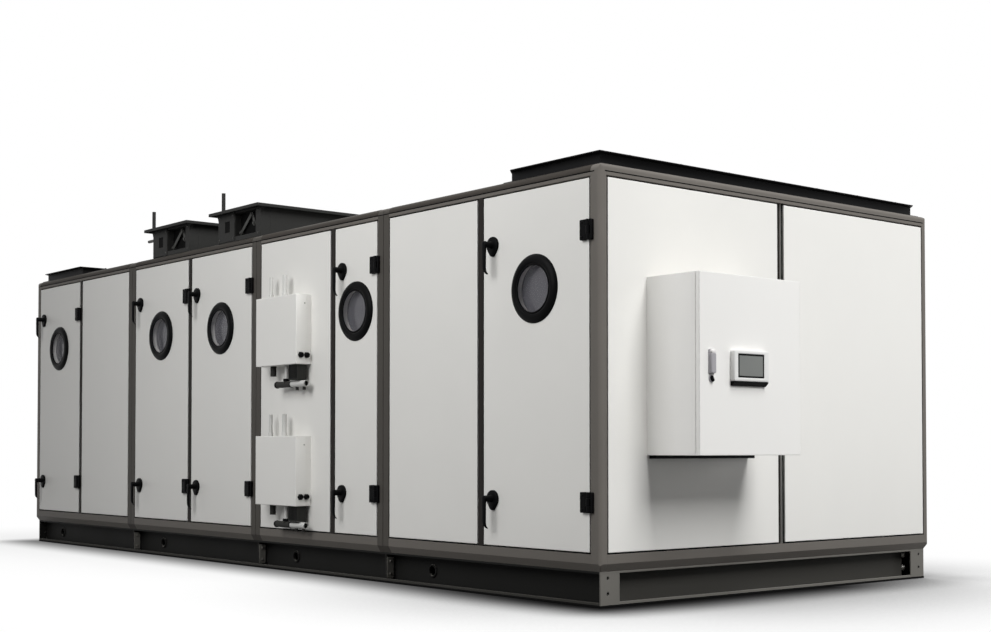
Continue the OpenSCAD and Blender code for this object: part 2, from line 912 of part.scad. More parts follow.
module door_fittings(bay) {
    color(black) for (z = fittings_z) {
        on_front(bay[1] - reveal - handle_in, z) lever_handle();
        on_front(hinge_s(bay), z) door_hinge();
    }
}

// Control box

box_hinge_r = 8;
box_pin_r = 4;
box_hinge_h = 30;
box_hinge_in = 90;
box_hinges_z = [box_hinge_in, box_h - box_hinge_in];
box_pin_out = box_d + box_gap / 2;
box_pin_side = box_hinge_r + 1;
box_tongue_t = 16;
box_tongue_in = 20;
door_tongue_t = 10;
door_tongue_in = 4;

module box_knuckle(z0, z1) {
    translate([box_w + box_pin_side, z0, box_pin_out]) upright(2 * box_hinge_r, z1 - z0);
}

module control_box() {
    color(panel_white) on_near_end(box_in, box_z) {
        difference() {
            cube([box_w, box_h, box_d]);
            translate([box_t, box_t, box_t]) cube([box_w - 2 * box_t, box_h - 2 * box_t, box_d]);
        }
        for (z = box_hinges_z) {
            box_knuckle(z - box_hinge_h, z - pin_gap);
            translate([box_w - eps, z - box_hinge_h, box_d - box_tongue_in])
                cube([box_hinge_r, box_hinge_h - pin_gap, box_tongue_t]);
            translate([box_w + box_pin_side, z - box_hinge_h, box_pin_out])
                upright(2 * box_pin_r, 2 * box_hinge_h);
        }
    }
}

module control_box_door() {
    color(panel_white) on_near_end(box_in, box_z) difference() {
        union() {
            translate([0, 0, box_d + box_gap]) cube([box_w, box_h, box_door_t]);
            for (z = box_hinges_z) {
                box_knuckle(z, z + box_hinge_h);
                translate([box_w - eps, z, box_d + box_gap + door_tongue_in])
                    cube([box_hinge_r, box_hinge_h, door_tongue_t]);
            }
        }
        for (z = box_hinges_z)
            translate([box_w + box_pin_side, z - eps, box_pin_out])
                upright(2 * (box_pin_r + pin_gap), box_hinge_h + 2 * eps);
    }
}

box_face = box_d + box_gap + box_door_t;
box_handle_at = [76, 422];
box_handle_r = 9;

// A flat swing handle with rounded corners
module control_box_handle() {
    w = box_handle_w / 2;
    h = box_handle_h / 2;
    r = box_handle_r;
    color(steel_grey) on_near_end(box_in + box_handle_at[0], box_z + box_handle_at[1])
        translate([0, 0, box_face]) linear_extrude(box_handle_out) union() {
            translate([-w, r - h]) square([2 * w, 2 * (h - r)]);
            translate([r - w, -h]) square([2 * (w - r), 2 * h]);
            for (x = [r - w, w - r], y = [r - h, h - r]) translate([x, y]) circle(r);
        }
}

touch_at = [203, 337];
screen_at = touch_at + [27, 17];
screen_t = 4;
screen_sunk = 1;
module touch_panel() {
    color(panel_white) on_near_end(box_in, box_z) difference() {
        translate([touch_at[0], touch_at[1], box_face]) cube([touch_w, touch_h, touch_t]);
        translate([screen_at[0], screen_at[1], box_face + touch_t - screen_t])
            cube([screen_w, screen_h, screen_t + eps]);
    }
}

module touch_screen() {
    color(glass_grey) on_near_end(box_in, box_z)
        translate([screen_at[0], screen_at[1], box_face + touch_t - screen_t])
            cube([screen_w, screen_h, screen_t - screen_sunk]);
}

base_side_channels();
base_end_channels();
base_cross_members();
bottom_rails();
top_rails();
corner_posts();
section_posts();
mullions();
front_panels();
back_panels();
end_panels();
roof_panels();
floor_panels();
roof_collars();
damper_frames();
damper_flanges();
damper_blades();
damper_linkages();
valve_boxes();
valve_pipes();
valve_fittings();
door_seals();
hinge_posts();
control_box();
control_box_door();
control_box_handle();
touch_panel();
touch_screen();
door_leaf(door_bays[0]);  // door_1_leaf
door_window_ring(door_bays[0]);  // door_1_window_ring
door_window_glass(door_bays[0]);  // door_1_window_glass
door_fittings(door_bays[0]);  // door_1_fittings
door_leaf(door_bays[1]);  // door_2_leaf
door_window_ring(door_bays[1]);  // door_2_window_ring
door_window_glass(door_bays[1]);  // door_2_window_glass
door_fittings(door_bays[1]);  // door_2_fittings
door_leaf(door_bays[2]);  // door_3_leaf
door_window_ring(door_bays[2]);  // door_3_window_ring
door_window_glass(door_bays[2]);  // door_3_window_glass
door_fittings(door_bays[2]);  // door_3_fittings
door_leaf(door_bays[3]);  // door_4_leaf
door_window_ring(door_bays[3]);  // door_4_window_ring
door_window_glass(door_bays[3]);  // door_4_window_glass
door_fittings(door_bays[3]);  // door_4_fittings
door_leaf(door_bays[4]);  // door_5_leaf
door_window_ring(door_bays[4]);  // door_5_window_ring
door_window_glass(door_bays[4]);  // door_5_window_glass
door_fittings(door_bays[4]);  // door_5_fittings
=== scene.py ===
import json
import math

import bmesh
import bpy
from mathutils import Matrix, Vector


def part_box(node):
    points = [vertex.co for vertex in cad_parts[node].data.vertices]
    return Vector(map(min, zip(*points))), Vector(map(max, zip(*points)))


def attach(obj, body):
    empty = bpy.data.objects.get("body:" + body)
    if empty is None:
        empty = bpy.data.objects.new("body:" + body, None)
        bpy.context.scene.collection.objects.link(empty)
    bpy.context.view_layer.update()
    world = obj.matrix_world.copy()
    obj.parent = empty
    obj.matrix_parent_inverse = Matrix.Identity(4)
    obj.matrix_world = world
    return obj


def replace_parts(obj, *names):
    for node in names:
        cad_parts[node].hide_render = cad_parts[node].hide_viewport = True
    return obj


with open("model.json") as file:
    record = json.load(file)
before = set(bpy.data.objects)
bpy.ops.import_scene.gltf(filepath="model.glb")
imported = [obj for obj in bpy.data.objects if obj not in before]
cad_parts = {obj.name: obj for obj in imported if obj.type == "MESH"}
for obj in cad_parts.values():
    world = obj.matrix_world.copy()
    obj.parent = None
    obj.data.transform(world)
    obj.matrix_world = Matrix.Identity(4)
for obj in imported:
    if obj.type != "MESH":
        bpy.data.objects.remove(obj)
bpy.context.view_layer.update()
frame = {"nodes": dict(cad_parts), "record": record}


# Camera. It stands below the height of the windows, off the corner where the control box hangs,
# and looks along both walls. Places on the unit are distances from that corner's two faces.
image_width_px = 991
focal_px = 1479.38
sensor_mm = 36.0
horizon_shift = 0.0960
camera_from_end = 4.816
camera_from_front = 4.597
camera_height = 0.718
camera_turn = (91.4495, 0.0, 50.370)
camera_reach = 200.0

casing_low, casing_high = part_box("corner_posts")
near_x, far_x = casing_high.x, casing_low.x
front_y, back_y = casing_low.y, casing_high.y
roof_z, casing_z = casing_high.z, casing_low.z


def spot(along, depth, height):
    """A point by its distance from the control end, its depth behind the service face and its height."""
    return Vector((near_x - along, front_y + depth, height))


camera = bpy.data.objects.new("camera", bpy.data.cameras.new("camera"))
bpy.context.collection.objects.link(camera)
camera.location = spot(-camera_from_end, -camera_from_front, camera_height)
camera.rotation_euler = [math.radians(a) for a in camera_turn]
camera.data.sensor_width = sensor_mm
camera.data.lens = focal_px / image_width_px * sensor_mm
camera.data.shift_y = horizon_shift
camera.data.clip_end = camera_reach
bpy.context.scene.camera = camera
bpy.context.scene.view_settings.view_transform = "Standard"


# Studio. A white floor that runs into a white surround, lit by four soft lamps: a large one over the
# control end, one before the service side and two weaker ones towards the back. The floor is grey
# only in the unit's own shadow.
pure_white = (1.0, 1.0, 1.0, 1.0)
ambient_strength = 0.015
floor_white = (0.93, 0.93, 0.93, 1.0)
floor_bounce = (0.12, 0.12, 0.12, 1.0)
floor_half = 40.0
floor_drop = 0.001
shade_samples = 12
contact_reach = 1.6
contact_span = (0.47, 0.96)
contact_dark_end = 0.10
contact_dark_front = 0.94
core_reach = 0.3
core_span = (0.1, 0.5)
core_dark = 0.03
base_inset = 0.020
hug_reach = 0.45
hug_dark_end = 0.03
hug_dark_front = 0.25
hug_dark_back = 0.70
end_blend = 2.5
back_blend = 1.0
shadow_reach = 2.5
shadow_keep = 0.2


def feed(tree, socket, value):
    """Sets an input to a plain value, or links it to another node's output."""
    if isinstance(value, bpy.types.NodeSocket):
        tree.links.new(value, socket)
    else:
        socket.default_value = value


def maths(tree, operation, *values):
    """One step of arithmetic on numbers or other nodes' outputs."""
    step = tree.nodes.new("ShaderNodeMath")
    step.operation = operation
    for socket, value in zip(step.inputs, values):
        feed(tree, socket, value)
    return step.outputs[0]


def ramp(tree, value, low, high, to_low=0.0, to_high=1.0, kind="LINEAR"):
    """A value mapped from one range to another, held at both ends."""
    mapped = tree.nodes.new("ShaderNodeMapRange")
    mapped.interpolation_type = kind
    given = {"Value": value, "From Min": low, "From Max": high, "To Min": to_low, "To Max": to_high}
    for label, part in given.items():
        feed(tree, mapped.inputs[label], part)
    return mapped.outputs["Result"]


def mixed(tree, factor, low, high):
    """Two colours mixed by a factor; each is a colour or another node's output."""
    mix = tree.nodes.new("ShaderNodeMix")
    mix.data_type = "RGBA"
    feed(tree, mix.inputs["Factor"], factor)
    for socket, colour in zip([s for s in mix.inputs if s.type == "RGBA"], (low, high)):
        feed(tree, socket, colour)
    return [s for s in mix.outputs if s.type == "RGBA"][0]


def seen_directly(tree):
    """A factor of 1 for camera rays, and for those that a reflection or a pane passes on."""
    path = tree.nodes.new("ShaderNodeLightPath")
    mirrored = maths(tree, "MAXIMUM", path.outputs["Is Camera Ray"], path.outputs["Is Glossy Ray"])
    return maths(tree, "MAXIMUM", mirrored, path.outputs["Is Transmission Ray"])


def shown(tree, factor, first, second, output):
    """Two shaders mixed by a factor and put out by a node of a given kind."""
    chosen = tree.nodes.new("ShaderNodeMixShader")
    for socket, value in zip(chosen.inputs, (factor, first.outputs[0], second.outputs[0])):
        tree.links.new(value, socket)
    tree.links.new(chosen.outputs[0], tree.nodes.new(output).inputs[0])


world = bpy.data.worlds.new("white_surround")
bpy.context.scene.world = world
world.use_nodes = True
tree = world.node_tree
tree.nodes.clear()
lit = tree.nodes.new("ShaderNodeBackground")
seen = tree.nodes.new("ShaderNodeBackground")
for background, strength in ((lit, ambient_strength), (seen, 1.0)):
    background.inputs["Color"].default_value = pure_white
    background.inputs["Strength"].default_value = strength
shown(tree, seen_directly(tree), lit, seen, "ShaderNodeOutputWorld")

floor_mesh = bpy.data.meshes.new("studio_floor")
floor_corners = [(x * floor_half, y * floor_half, 0.0) for x, y in ((-1, -1), (1, -1), (1, 1), (-1, 1))]
floor_mesh.from_pydata(floor_corners, [], [(0, 1, 2, 3)])
floor = bpy.data.objects.new("studio_floor", floor_mesh)
floor.location.z = -floor_drop
bpy.context.collection.objects.link(floor)

floor_material = bpy.data.materials.new("studio_floor")
floor_mesh.materials.append(floor_material)
floor_material.use_nodes = True
tree = floor_material.node_tree
tree.nodes.clear()
place = tree.nodes.new("ShaderNodeTexCoord")
split = tree.nodes.new("ShaderNodeSeparateXYZ")
tree.links.new(place.outputs["Object"], split.inputs[0])
direct = seen_directly(tree)


def openness(reach):
    """How free a place on the floor is of anything within reach, from 0 to 1."""
    around = tree.nodes.new("ShaderNodeAmbientOcclusion")
    around.samples = shade_samples
    around.inputs["Distance"].default_value = reach
    return around.outputs["AO"]


def by_place(axis, low, high, at_low, at_high):
    """A value for the floor that turns into another between two places along an axis."""
    return ramp(tree, split.outputs[axis], low, high, at_low, at_high, "SMOOTHSTEP")


# Close to the unit the white turns grey, most of all below the end wall
contact_dark = by_place("X", near_x - end_blend, near_x, contact_dark_front, contact_dark_end)
contact = ramp(tree, openness(contact_reach), *contact_span, contact_dark)
core = ramp(tree, openness(core_reach), *core_span, core_dark)

# How far a place lies outside the unit's plan
outside = tree.nodes.new("ShaderNodeCombineXYZ")
for axis, low, high in (("X", far_x, near_x), ("Y", front_y, back_y)):
    from_middle = maths(tree, "ABSOLUTE", maths(tree, "SUBTRACT", split.outputs[axis], (low + high) / 2))
    beyond = maths(tree, "SUBTRACT", from_middle, (high - low) / 2)
    tree.links.new(maths(tree, "MAXIMUM", beyond, 0.0), outside.inputs[axis])
from_unit = tree.nodes.new("ShaderNodeVectorMath")
from_unit.operation = "LENGTH"
tree.links.new(outside.outputs[0], from_unit.inputs[0])
distance = from_unit.outputs["Value"]

# A narrow strip of deeper shade lies against the base
hug_dark_near = by_place("X", near_x - end_blend, near_x, hug_dark_front, hug_dark_end)
hug_dark_far = by_place("Y", back_y - back_blend, back_y, 0.0, hug_dark_back)
hug_dark = maths(tree, "MAXIMUM", hug_dark_near, hug_dark_far)
hug = ramp(tree, distance, -base_inset, hug_reach, hug_dark, 1.0, "SMOOTHSTEP")

# Beside the unit the floor keeps a share of the true shadow, and none where it runs into the surround
glow = tree.nodes.new("ShaderNodeEmission")
feed(tree, glow.inputs["Strength"], maths(tree, "MULTIPLY", maths(tree, "MULTIPLY", contact, core), hug))
dimmed = tree.nodes.new("ShaderNodeVectorMath")
dimmed.operation = "MULTIPLY"
feed(tree, dimmed.inputs[0], mixed(tree, direct, floor_bounce, floor_white))
feed(tree, dimmed.inputs[1], hug)
matt = tree.nodes.new("ShaderNodeBsdfDiffuse")
feed(tree, matt.inputs["Color"], dimmed.outputs[0])
fade = ramp(tree, distance, 0.0, shadow_reach, 1.0 - shadow_keep, 1.0, "SMOOTHSTEP")
shown(tree, maths(tree, "MULTIPLY", fade, direct), matt, glow, "ShaderNodeOutputMaterial")


def soft_lamp(name, place, aim, width, height, power):
    """A softbox at one point, turned towards another."""
    lamp = bpy.data.objects.new(name, bpy.data.lights.new(name, "AREA"))
    bpy.context.collection.objects.link(lamp)
    lamp.data.shape = "RECTANGLE"
    lamp.data.size = width
    lamp.data.size_y = height
    lamp.data.energy = power
    lamp.location = place
    lamp.rotation_euler = (aim - place).to_track_quat("-Z", "Y").to_euler()


soft_lamp("end_lamp", spot(-9.0, 1.7, 12.0), spot(0.0, 1.4, 1.0), 6.0, 11.0, 2700.0)
soft_lamp("front_lamp", spot(1.2, -4.9, 4.4), spot(1.4, 0.6, 1.0), 4.5, 4.5, 288.0)
soft_lamp("side_lamp", spot(-4.0, 7.0, 1.6), spot(0.0, 2.4, 0.3), 2.5, 2.5, 34.0)
soft_lamp("back_lamp", spot(8.5, 10.0, 6.0), spot(4.5, 2.0, 1.0), 4.0, 4.0, 520.0)


# Base. Folded steel channels, open outwards, welded at the corners to plates with two bolt holes
# and finished in a grey powder coat, much darker on the long sides as painted shade. Every finish
# below is mixed from the same few effects.
def shader_group(name, inputs, outputs):
    """An empty group of shader nodes with named float inputs and outputs of a given kind."""
    group = bpy.data.node_groups.new(name, "ShaderNodeTree")
    for label, value in inputs.items():
        socket = group.interface.new_socket(name=label, in_out="INPUT", socket_type="NodeSocketFloat")
        socket.default_value = value
    for label, kind in outputs.items():
        group.interface.new_socket(name=label, in_out="OUTPUT", socket_type=kind)
    start = group.nodes.new("NodeGroupInput")
    end = group.nodes.new("NodeGroupOutput")
    return group, start, end


def noise(tree, scale, detail):
    """Noise in the unit's own frame, so that it stays on a piece that moves."""
    place = tree.nodes.new("ShaderNodeTexCoord")
    texture = tree.nodes.new("ShaderNodeTexNoise")
    tree.links.new(place.outputs["Object"], texture.inputs["Vector"])
    feed(tree, texture.inputs["Scale"], scale)
    texture.inputs["Detail"].default_value = detail
    return texture.outputs["Fac"]


def masked(group, first, second, start, end):
    """Puts out two masks multiplied with each other and with the group's amount."""
    both = maths(group, "MULTIPLY", first, second)
    group.links.new(maths(group, "MULTIPLY", both, start.outputs["Amount"]), end.inputs["Mask"])


# Broad patches of slightly other shade, and the fine skin of a sprayed or moulded surface
patch_scale, patch_detail, patch_span = 1.7, 4.0, (0.3, 0.7)
grain_detail = 2.0
skin, start, end = shader_group(
    "coat_skin", {"Grain Scale": 900.0}, {"Patches": "NodeSocketFloat", "Grain": "NodeSocketFloat"}
)
skin.links.new(ramp(skin, noise(skin, patch_scale, patch_detail), *patch_span), end.inputs["Patches"])
skin.links.new(noise(skin, start.outputs["Grain Scale"], grain_detail), end.inputs["Grain"])

# Edges that have lost some of their coat, on the panels and the control box a painted highlight along
# the edges instead, and a normal that rounds them off
bevel_samples = 4
edge_span = (0.995, 0.86)
chip_scale, chip_detail, chip_span = 34.0, 5.0, (0.47, 0.66)
edges, start, end = shader_group(
    "worn_and_highlit_edges", {"Width": 0.004, "Amount": 0.5}, {"Mask": "NodeSocketFloat", "Rounded": "NodeSocketVector"}
)
rounded = edges.nodes.new("ShaderNodeBevel")
rounded.samples = bevel_samples
edges.links.new(start.outputs["Width"], rounded.inputs["Radius"])
flat = edges.nodes.new("ShaderNodeNewGeometry")
agree = edges.nodes.new("ShaderNodeVectorMath")
agree.operation = "DOT_PRODUCT"
edges.links.new(rounded.outputs["Normal"], agree.inputs[0])
edges.links.new(flat.outputs["True Normal"], agree.inputs[1])
near_edge = ramp(edges, agree.outputs["Value"], *edge_span)
chipped = ramp(edges, noise(edges, chip_scale, chip_detail), *chip_span)
masked(edges, near_edge, chipped, start, end)
edges.links.new(rounded.outputs["Normal"], end.inputs["Rounded"])

# Dust on what faces up; where it lies thick its mid grey is also painted shade on the tops of white
# pieces and painted light on the tops of dark ones
level_span = (0.5, 1.0)
drift_scale, drift_detail, drift_span = 3.2, 6.0, (0.05, 0.42)
dust_and_top_shading, start, end = shader_group("dust_and_painted_top_shading", {"Amount": 0.3}, {"Mask": "NodeSocketFloat"})
flat = dust_and_top_shading.nodes.new("ShaderNodeNewGeometry")
upward = dust_and_top_shading.nodes.new("ShaderNodeSeparateXYZ")
dust_and_top_shading.links.new(flat.outputs["True Normal"], upward.inputs[0])
lying = ramp(dust_and_top_shading, upward.outputs["Z"], *level_span)
blown = ramp(dust_and_top_shading, noise(dust_and_top_shading, drift_scale, drift_detail), *drift_span)
masked(dust_and_top_shading, lying, blown, start, end)


def srgb(red, green, blue):
    """A colour as it is seen on screen, 0 to 255, in the linear values that a shader takes."""
    values = [c / 255.0 for c in (red, green, blue)]
    return (*[v / 12.92 if v <= 0.04045 else ((v + 0.055) / 1.055) ** 2.4 for v in values], 1.0)


def shade(colour, factor):
    """A colour made darker or lighter."""
    return (*[c * factor for c in colour[:3]], 1.0)


def placed(tree, group, **values):
    """A shared effect placed in a material with its own values."""
    node = tree.nodes.new("ShaderNodeGroup")
    node.node_tree = group
    for label, value in values.items():
        node.inputs[label.replace("_", " ").title()].default_value = value
    return node


def new_material(name):
    """A material with its shader nodes ready: the material, its tree and its surface shader."""
    material = bpy.data.materials.new(name)
    material.use_nodes = True
    return material, material.node_tree, material.node_tree.nodes["Principled BSDF"]


# A mid grey for the dust, kept dark enough to paint shade on the brightly lit tops of white pieces.
dust_and_top_shading_colour = srgb(160, 157, 150)
rough_spread = 0.05
grain_strength = 0.5
edge_lift = 1.5


def finish(name, colour, roughness, worn_and_lit_edge=None, worn_and_lit_amount=0.5, worn_and_lit_width=0.004, dust_and_top_shading_amount=0.25, mottle=0.05,
           grain_scale=900.0, grain_depth=0.00008, metallic=0.0, specular=0.5):
    """A coated, moulded or uncoated surface: mottled colour, rubbed edges (a painted highlight on some
    pieces), a dusting on upward faces that where thick paints shade on white tops and light on dark ones, and
    a fine skin.
    """
    material, tree, shader = new_material(name)
    surface = placed(tree, skin, grain_scale=grain_scale)
    edge = placed(tree, edges, width=worn_and_lit_width, amount=worn_and_lit_amount)
    top_covering = placed(tree, dust_and_top_shading, amount=dust_and_top_shading_amount)
    patches = surface.outputs["Patches"]
    tone = mixed(tree, patches, shade(colour, 1.0 - mottle), shade(colour, 1.0 + mottle))
    tone = mixed(tree, edge.outputs["Mask"], tone, worn_and_lit_edge or shade(colour, edge_lift))
    tone = mixed(tree, top_covering.outputs["Mask"], tone, dust_and_top_shading_colour)
    tree.links.new(tone, shader.inputs["Base Color"])
    rough = ramp(tree, patches, 0.0, 1.0, roughness - rough_spread, roughness + rough_spread)
    tree.links.new(rough, shader.inputs["Roughness"])
    bump = tree.nodes.new("ShaderNodeBump")
    bump.inputs["Strength"].default_value = grain_strength
    bump.inputs["Distance"].default_value = grain_depth
    tree.links.new(surface.outputs["Grain"], bump.inputs["Height"])
    tree.links.new(edge.outputs["Rounded"], bump.inputs["Normal"])
    tree.links.new(bump.outputs["Normal"], shader.inputs["Normal"])
    shader.inputs["Metallic"].default_value = metallic
    shader.inputs["Specular IOR Level"].default_value = specular
    return material


def coat(material, *nodes):
    """Gives CAD nodes a finish in place of their flat colour."""
    for name in nodes:
        mesh = frame["nodes"][name].data
        mesh.materials.clear()
        mesh.materials.append(material)


# Painted shade: the long sides, cross members and their small parts take a much darker copy of the end
# channels' grey, for a base deep in shade under the casing; their thick dusting paints light on the flange
# tops.
base_shaded_grey = finish("base_painted_shade_coat", srgb(30, 30, 29), 0.60, worn_and_lit_edge=srgb(74, 73, 71), worn_and_lit_amount=0.5, dust_and_top_shading_amount=0.45,
                   specular=0.05)
base_end_grey = finish("base_end_powder_coat", srgb(112, 110, 105), 0.55, worn_and_lit_edge=srgb(150, 148, 143), worn_and_lit_amount=0.3,
                       dust_and_top_shading_amount=0.4, specular=0.10)
# Painted shade: the dark grey of the sheets on the end channels' webs, in the recess under the casing.
web_shade_grey = finish("base_web_painted_shade", srgb(62, 61, 58), 0.60, worn_and_lit_edge=srgb(96, 94, 90), worn_and_lit_amount=0.2, dust_and_top_shading_amount=0.2,
                  specular=0.06)
# Painted light: the lower lips of the side channels take a paler copy of their dark grey, where they catch
# the light.
lip_lit_grey = finish("base_lip_painted_light", srgb(66, 65, 62), 0.60, worn_and_lit_edge=srgb(92, 90, 86), worn_and_lit_amount=0.3, dust_and_top_shading_amount=0.2,
                  specular=0.06)
coat(base_shaded_grey, "base_side_channels", "base_cross_members")
coat(base_end_grey, "base_end_channels")


# Base bolts. Dark set screws fill the two holes of each corner plate, and zinc-plated hexagon bolts
# hold the webs of the end channels near the back.
zinc = finish("zinc_plated_bolts", srgb(168, 167, 162), 0.34, worn_and_lit_amount=0.2, dust_and_top_shading_amount=0.1, metallic=0.7)
web_depth = 0.080
end_bolt_in, end_bolt_r = 0.124, 0.012
end_bolt_heights = (0.060, 0.130)
set_screw_profile = [(0.0, -0.0048), (0.0034, -0.0048), (0.0038, -0.0020), (0.0064, -0.0020),
                     (0.0077, -0.0032), (0.0077, -0.014), (0.0, -0.014)]
smooth_below = math.radians(34.0)
sides = ((front_y, -1.0), (back_y, 1.0))
ends = ((near_x, 1.0), (far_x, -1.0))
to_front, to_control_end, to_sky = (0.0, -1.0, 0.0), (1.0, 0.0, 0.0), (0.0, 0.0, 1.0)


def facing(place, out):
    """A frame at a point: local z outwards, local y up (to the back where z is upright), x to the right."""
    z = Vector(out).normalized()
    up = Vector((0.0, 1.0, 0.0)) if abs(z.z) > 0.5 else Vector(to_sky)
    x = up.cross(z).normalized()
    return Matrix.Translation(place) @ Matrix((x, z.cross(x), z)).transposed().to_4x4()


def loft(shape, loops, closed=False):
    """Skin over loops of equally many points, capped at both ends unless it closes on itself."""
    rows = [[shape.verts.new(point) for point in loop] for loop in loops]
    count = len(rows[0])
    for i in range(len(rows) if closed else len(rows) - 1):
        a, b = rows[i], rows[(i + 1) % len(rows)]
        for k in range(count):
            shape.faces.new((a[k], a[(k + 1) % count], b[(k + 1) % count], b[k]))
    if not closed:
        shape.faces.new(rows[0])
        shape.faces.new(rows[-1])


def turned(shape, at, profile, steps):
    """A profile of radius and height turned round a frame's local z, from axis to axis or as a ring."""
    angles = [2.0 * math.pi * k / steps for k in range(steps)]

    def around(r, z, a):
        return at @ Vector((r * math.cos(a), r * math.sin(a), z))

    if profile[0][0] > 0.0:
        loft(shape, [[around(r, z, a) for r, z in profile] for a in angles], True)
        return
    tip, tail = [shape.verts.new(at @ Vector((0.0, 0.0, profile[i][1]))) for i in (0, -1)]
    rows = [[shape.verts.new(around(r, z, a)) for a in angles] for r, z in profile[1:-1]]
    for k in range(steps):
        j = (k + 1) % steps
        shape.faces.new((tip, rows[0][k], rows[0][j]))
        shape.faces.new((tail, rows[-1][j], rows[-1][k]))
        for a, b in zip(rows, rows[1:]):
            shape.faces.new((a[k], b[k], b[j], a[j]))


def hex_bolt(shape, at, r):
    """A hexagon head with a turned chamfer on a round washer."""
    washer = [(0.0, 0.2), (1.42, 0.2), (1.5, 0.12), (1.5, -0.05), (0.0, -0.05)]
    head = [(0.0, 0.95), (0.82, 0.95), (1.0, 0.82), (1.0, 0.15), (0.0, 0.15)]
    turned(shape, at, [(u * r, v * r) for u, v in washer], 18)
    turned(shape, at, [(u * r, v * r) for u, v in head], 6)


def piece(name, shape, material, body="casing"):
    """Turns a finished shape into a piece of the unit that moves with a body."""
    bmesh.ops.recalc_face_normals(shape, faces=shape.faces)
    mesh = bpy.data.meshes.new(name)
    shape.to_mesh(mesh)
    shape.free()
    mesh.materials.append(material)
    mesh.shade_smooth()
    mesh.set_sharp_from_angle(angle=smooth_below)
    made = bpy.data.objects.new(name, mesh)
    bpy.context.collection.objects.link(made)
    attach(made, body)
    return made


shape = bmesh.new()
for mount in frame["record"]["mounts"]:
    if mount["kind"] == "bolt_pattern":
        spacing = mount["dims"]["spacing_y_mm"] / 1000.0
        for side in (-0.5, 0.5):
            place = Vector(mount["pos_m"]) + Vector((0.0, 0.0, side * spacing))
            turned(shape, facing(place, mount["axis"]), set_screw_profile, 16)
piece("corner_plate_screws", shape, base_shaded_grey)

shape = bmesh.new()
for x, out in ends:
    for z in end_bolt_heights:
        hex_bolt(shape, facing((x - out * web_depth, back_y - end_bolt_in, z), (out, 0, 0)), end_bolt_r)
piece("base_end_bolts", shape, zinc)


# Base sheets. Thin dark sheets on the webs of the end channels, painted shade for the recess under
# the casing, and a black strip at the foot of the channels, where the base stands on the floor, that
# paints the contact shadow there.
# Black rubber for the seals, and the black of the strip that paints the contact shadow under the base.
seal_rubber = finish("seal_rubber", srgb(14, 14, 14), 0.75, worn_and_lit_amount=0.05, dust_and_top_shading_amount=0.05, grain_scale=1800.0,
                     specular=0.05)
web_sheet_in, web_sheet_gap, web_sheet_t = 0.142, 0.008, 0.0025
strip_h, strip_out, strip_under, strip_soft = 0.010, 0.0015, 0.004, 0.001


def rounded_outline(width, height, radius, steps=4):
    """Outline of a rectangle with rounded corners, about its middle."""
    points = []
    for quarter, (sign_x, sign_y) in enumerate(((1, 1), (-1, 1), (-1, -1), (1, -1))):
        for k in range(steps + 1):
            a = math.pi / 2 * (quarter + k / steps)
            points.append((sign_x * (width / 2 - radius) + radius * math.cos(a),
                           sign_y * (height / 2 - radius) + radius * math.sin(a)))
    return points


least_radius = 0.0004


def block(shape, at, size, radius, soft, start=0.0):
    """A block on a frame, its upright edges rounded and the rim of its far face softened."""
    width, height, depth = size
    end = start + depth
    levels = ((0.0, start), (0.0, end - soft), (0.3 * soft, end - 0.3 * soft), (soft, end), (1.6 * soft, end))
    loops = []
    for inset, z in levels:
        corner = max(radius - inset, least_radius)
        outline = rounded_outline(width - 2 * inset, height - 2 * inset, corner)
        loops.append([at @ Vector((x, y, z)) for x, y in outline])
    loft(shape, loops)


shape = bmesh.new()
for x, out in ends:
    at = facing((x - out * web_depth, (front_y + back_y) / 2, casing_z / 2), (out, 0, 0))
    size = (back_y - front_y - 2 * web_sheet_in, casing_z - 2 * web_sheet_gap, web_sheet_t)
    block(shape, at, size, 0.004, 0.001)
piece("base_end_web_shade_sheets", shape, web_shade_grey)

# Painted contact shadow: a black strip round the foot of the base.
strip_face = base_inset - strip_out
strip_back = base_inset + strip_under
strip_section = ((strip_face, 0.0), (strip_face, strip_h - 2 * strip_soft),
                 (strip_face + strip_soft, strip_h), (strip_back, strip_h), (strip_back, 0.0))
plan_corners = ((near_x, front_y, 1, -1), (near_x, back_y, 1, 1),
                (far_x, back_y, -1, 1), (far_x, front_y, -1, -1))
shape = bmesh.new()
loft(shape, [[Vector((x - sx * inset, y - sy * inset, z)) for inset, z in strip_section]
             for x, y, sx, sy in plan_corners], True)
piece("base_contact_shadow_strip", shape, seal_rubber)


# Splice plates. Steel plates bolted to the channels' ribs where two base sections meet, and dark liners
# on the inner faces of the corner plates, painted shade inside the open side channels.
rib_half = 0.006
plate_t = 0.006
splice_in, splice_w, splice_gap, splice_t = 0.024, 0.044, 0.025, 0.003
splice_bolt_up, splice_bolt_r = 0.034, 0.006
liner_in, liner_w, liner_gap, liner_t = 0.030, 0.056, 0.008, 0.002


def solids(node):
    """The lowest and highest corners of each separate solid of a CAD node, from the far end on."""
    shape = bmesh.new()
    shape.from_mesh(frame["nodes"][node].data)
    bmesh.ops.remove_doubles(shape, verts=shape.verts, dist=1e-5)
    left, boxes = set(shape.verts), []
    while left:
        reached = [left.pop()]
        for vert in reached:
            for edge in vert.link_edges:
                other = edge.other_vert(vert)
                if other in left:
                    left.discard(other)
                    reached.append(other)
        points = [v.co for v in reached]
        boxes.append(tuple(Vector([pick(p[i] for p in points) for i in range(3)]) for pick in (min, max)))
    shape.free()
    return sorted(boxes, key=lambda box: [round(c, 4) for corner in box for c in corner])


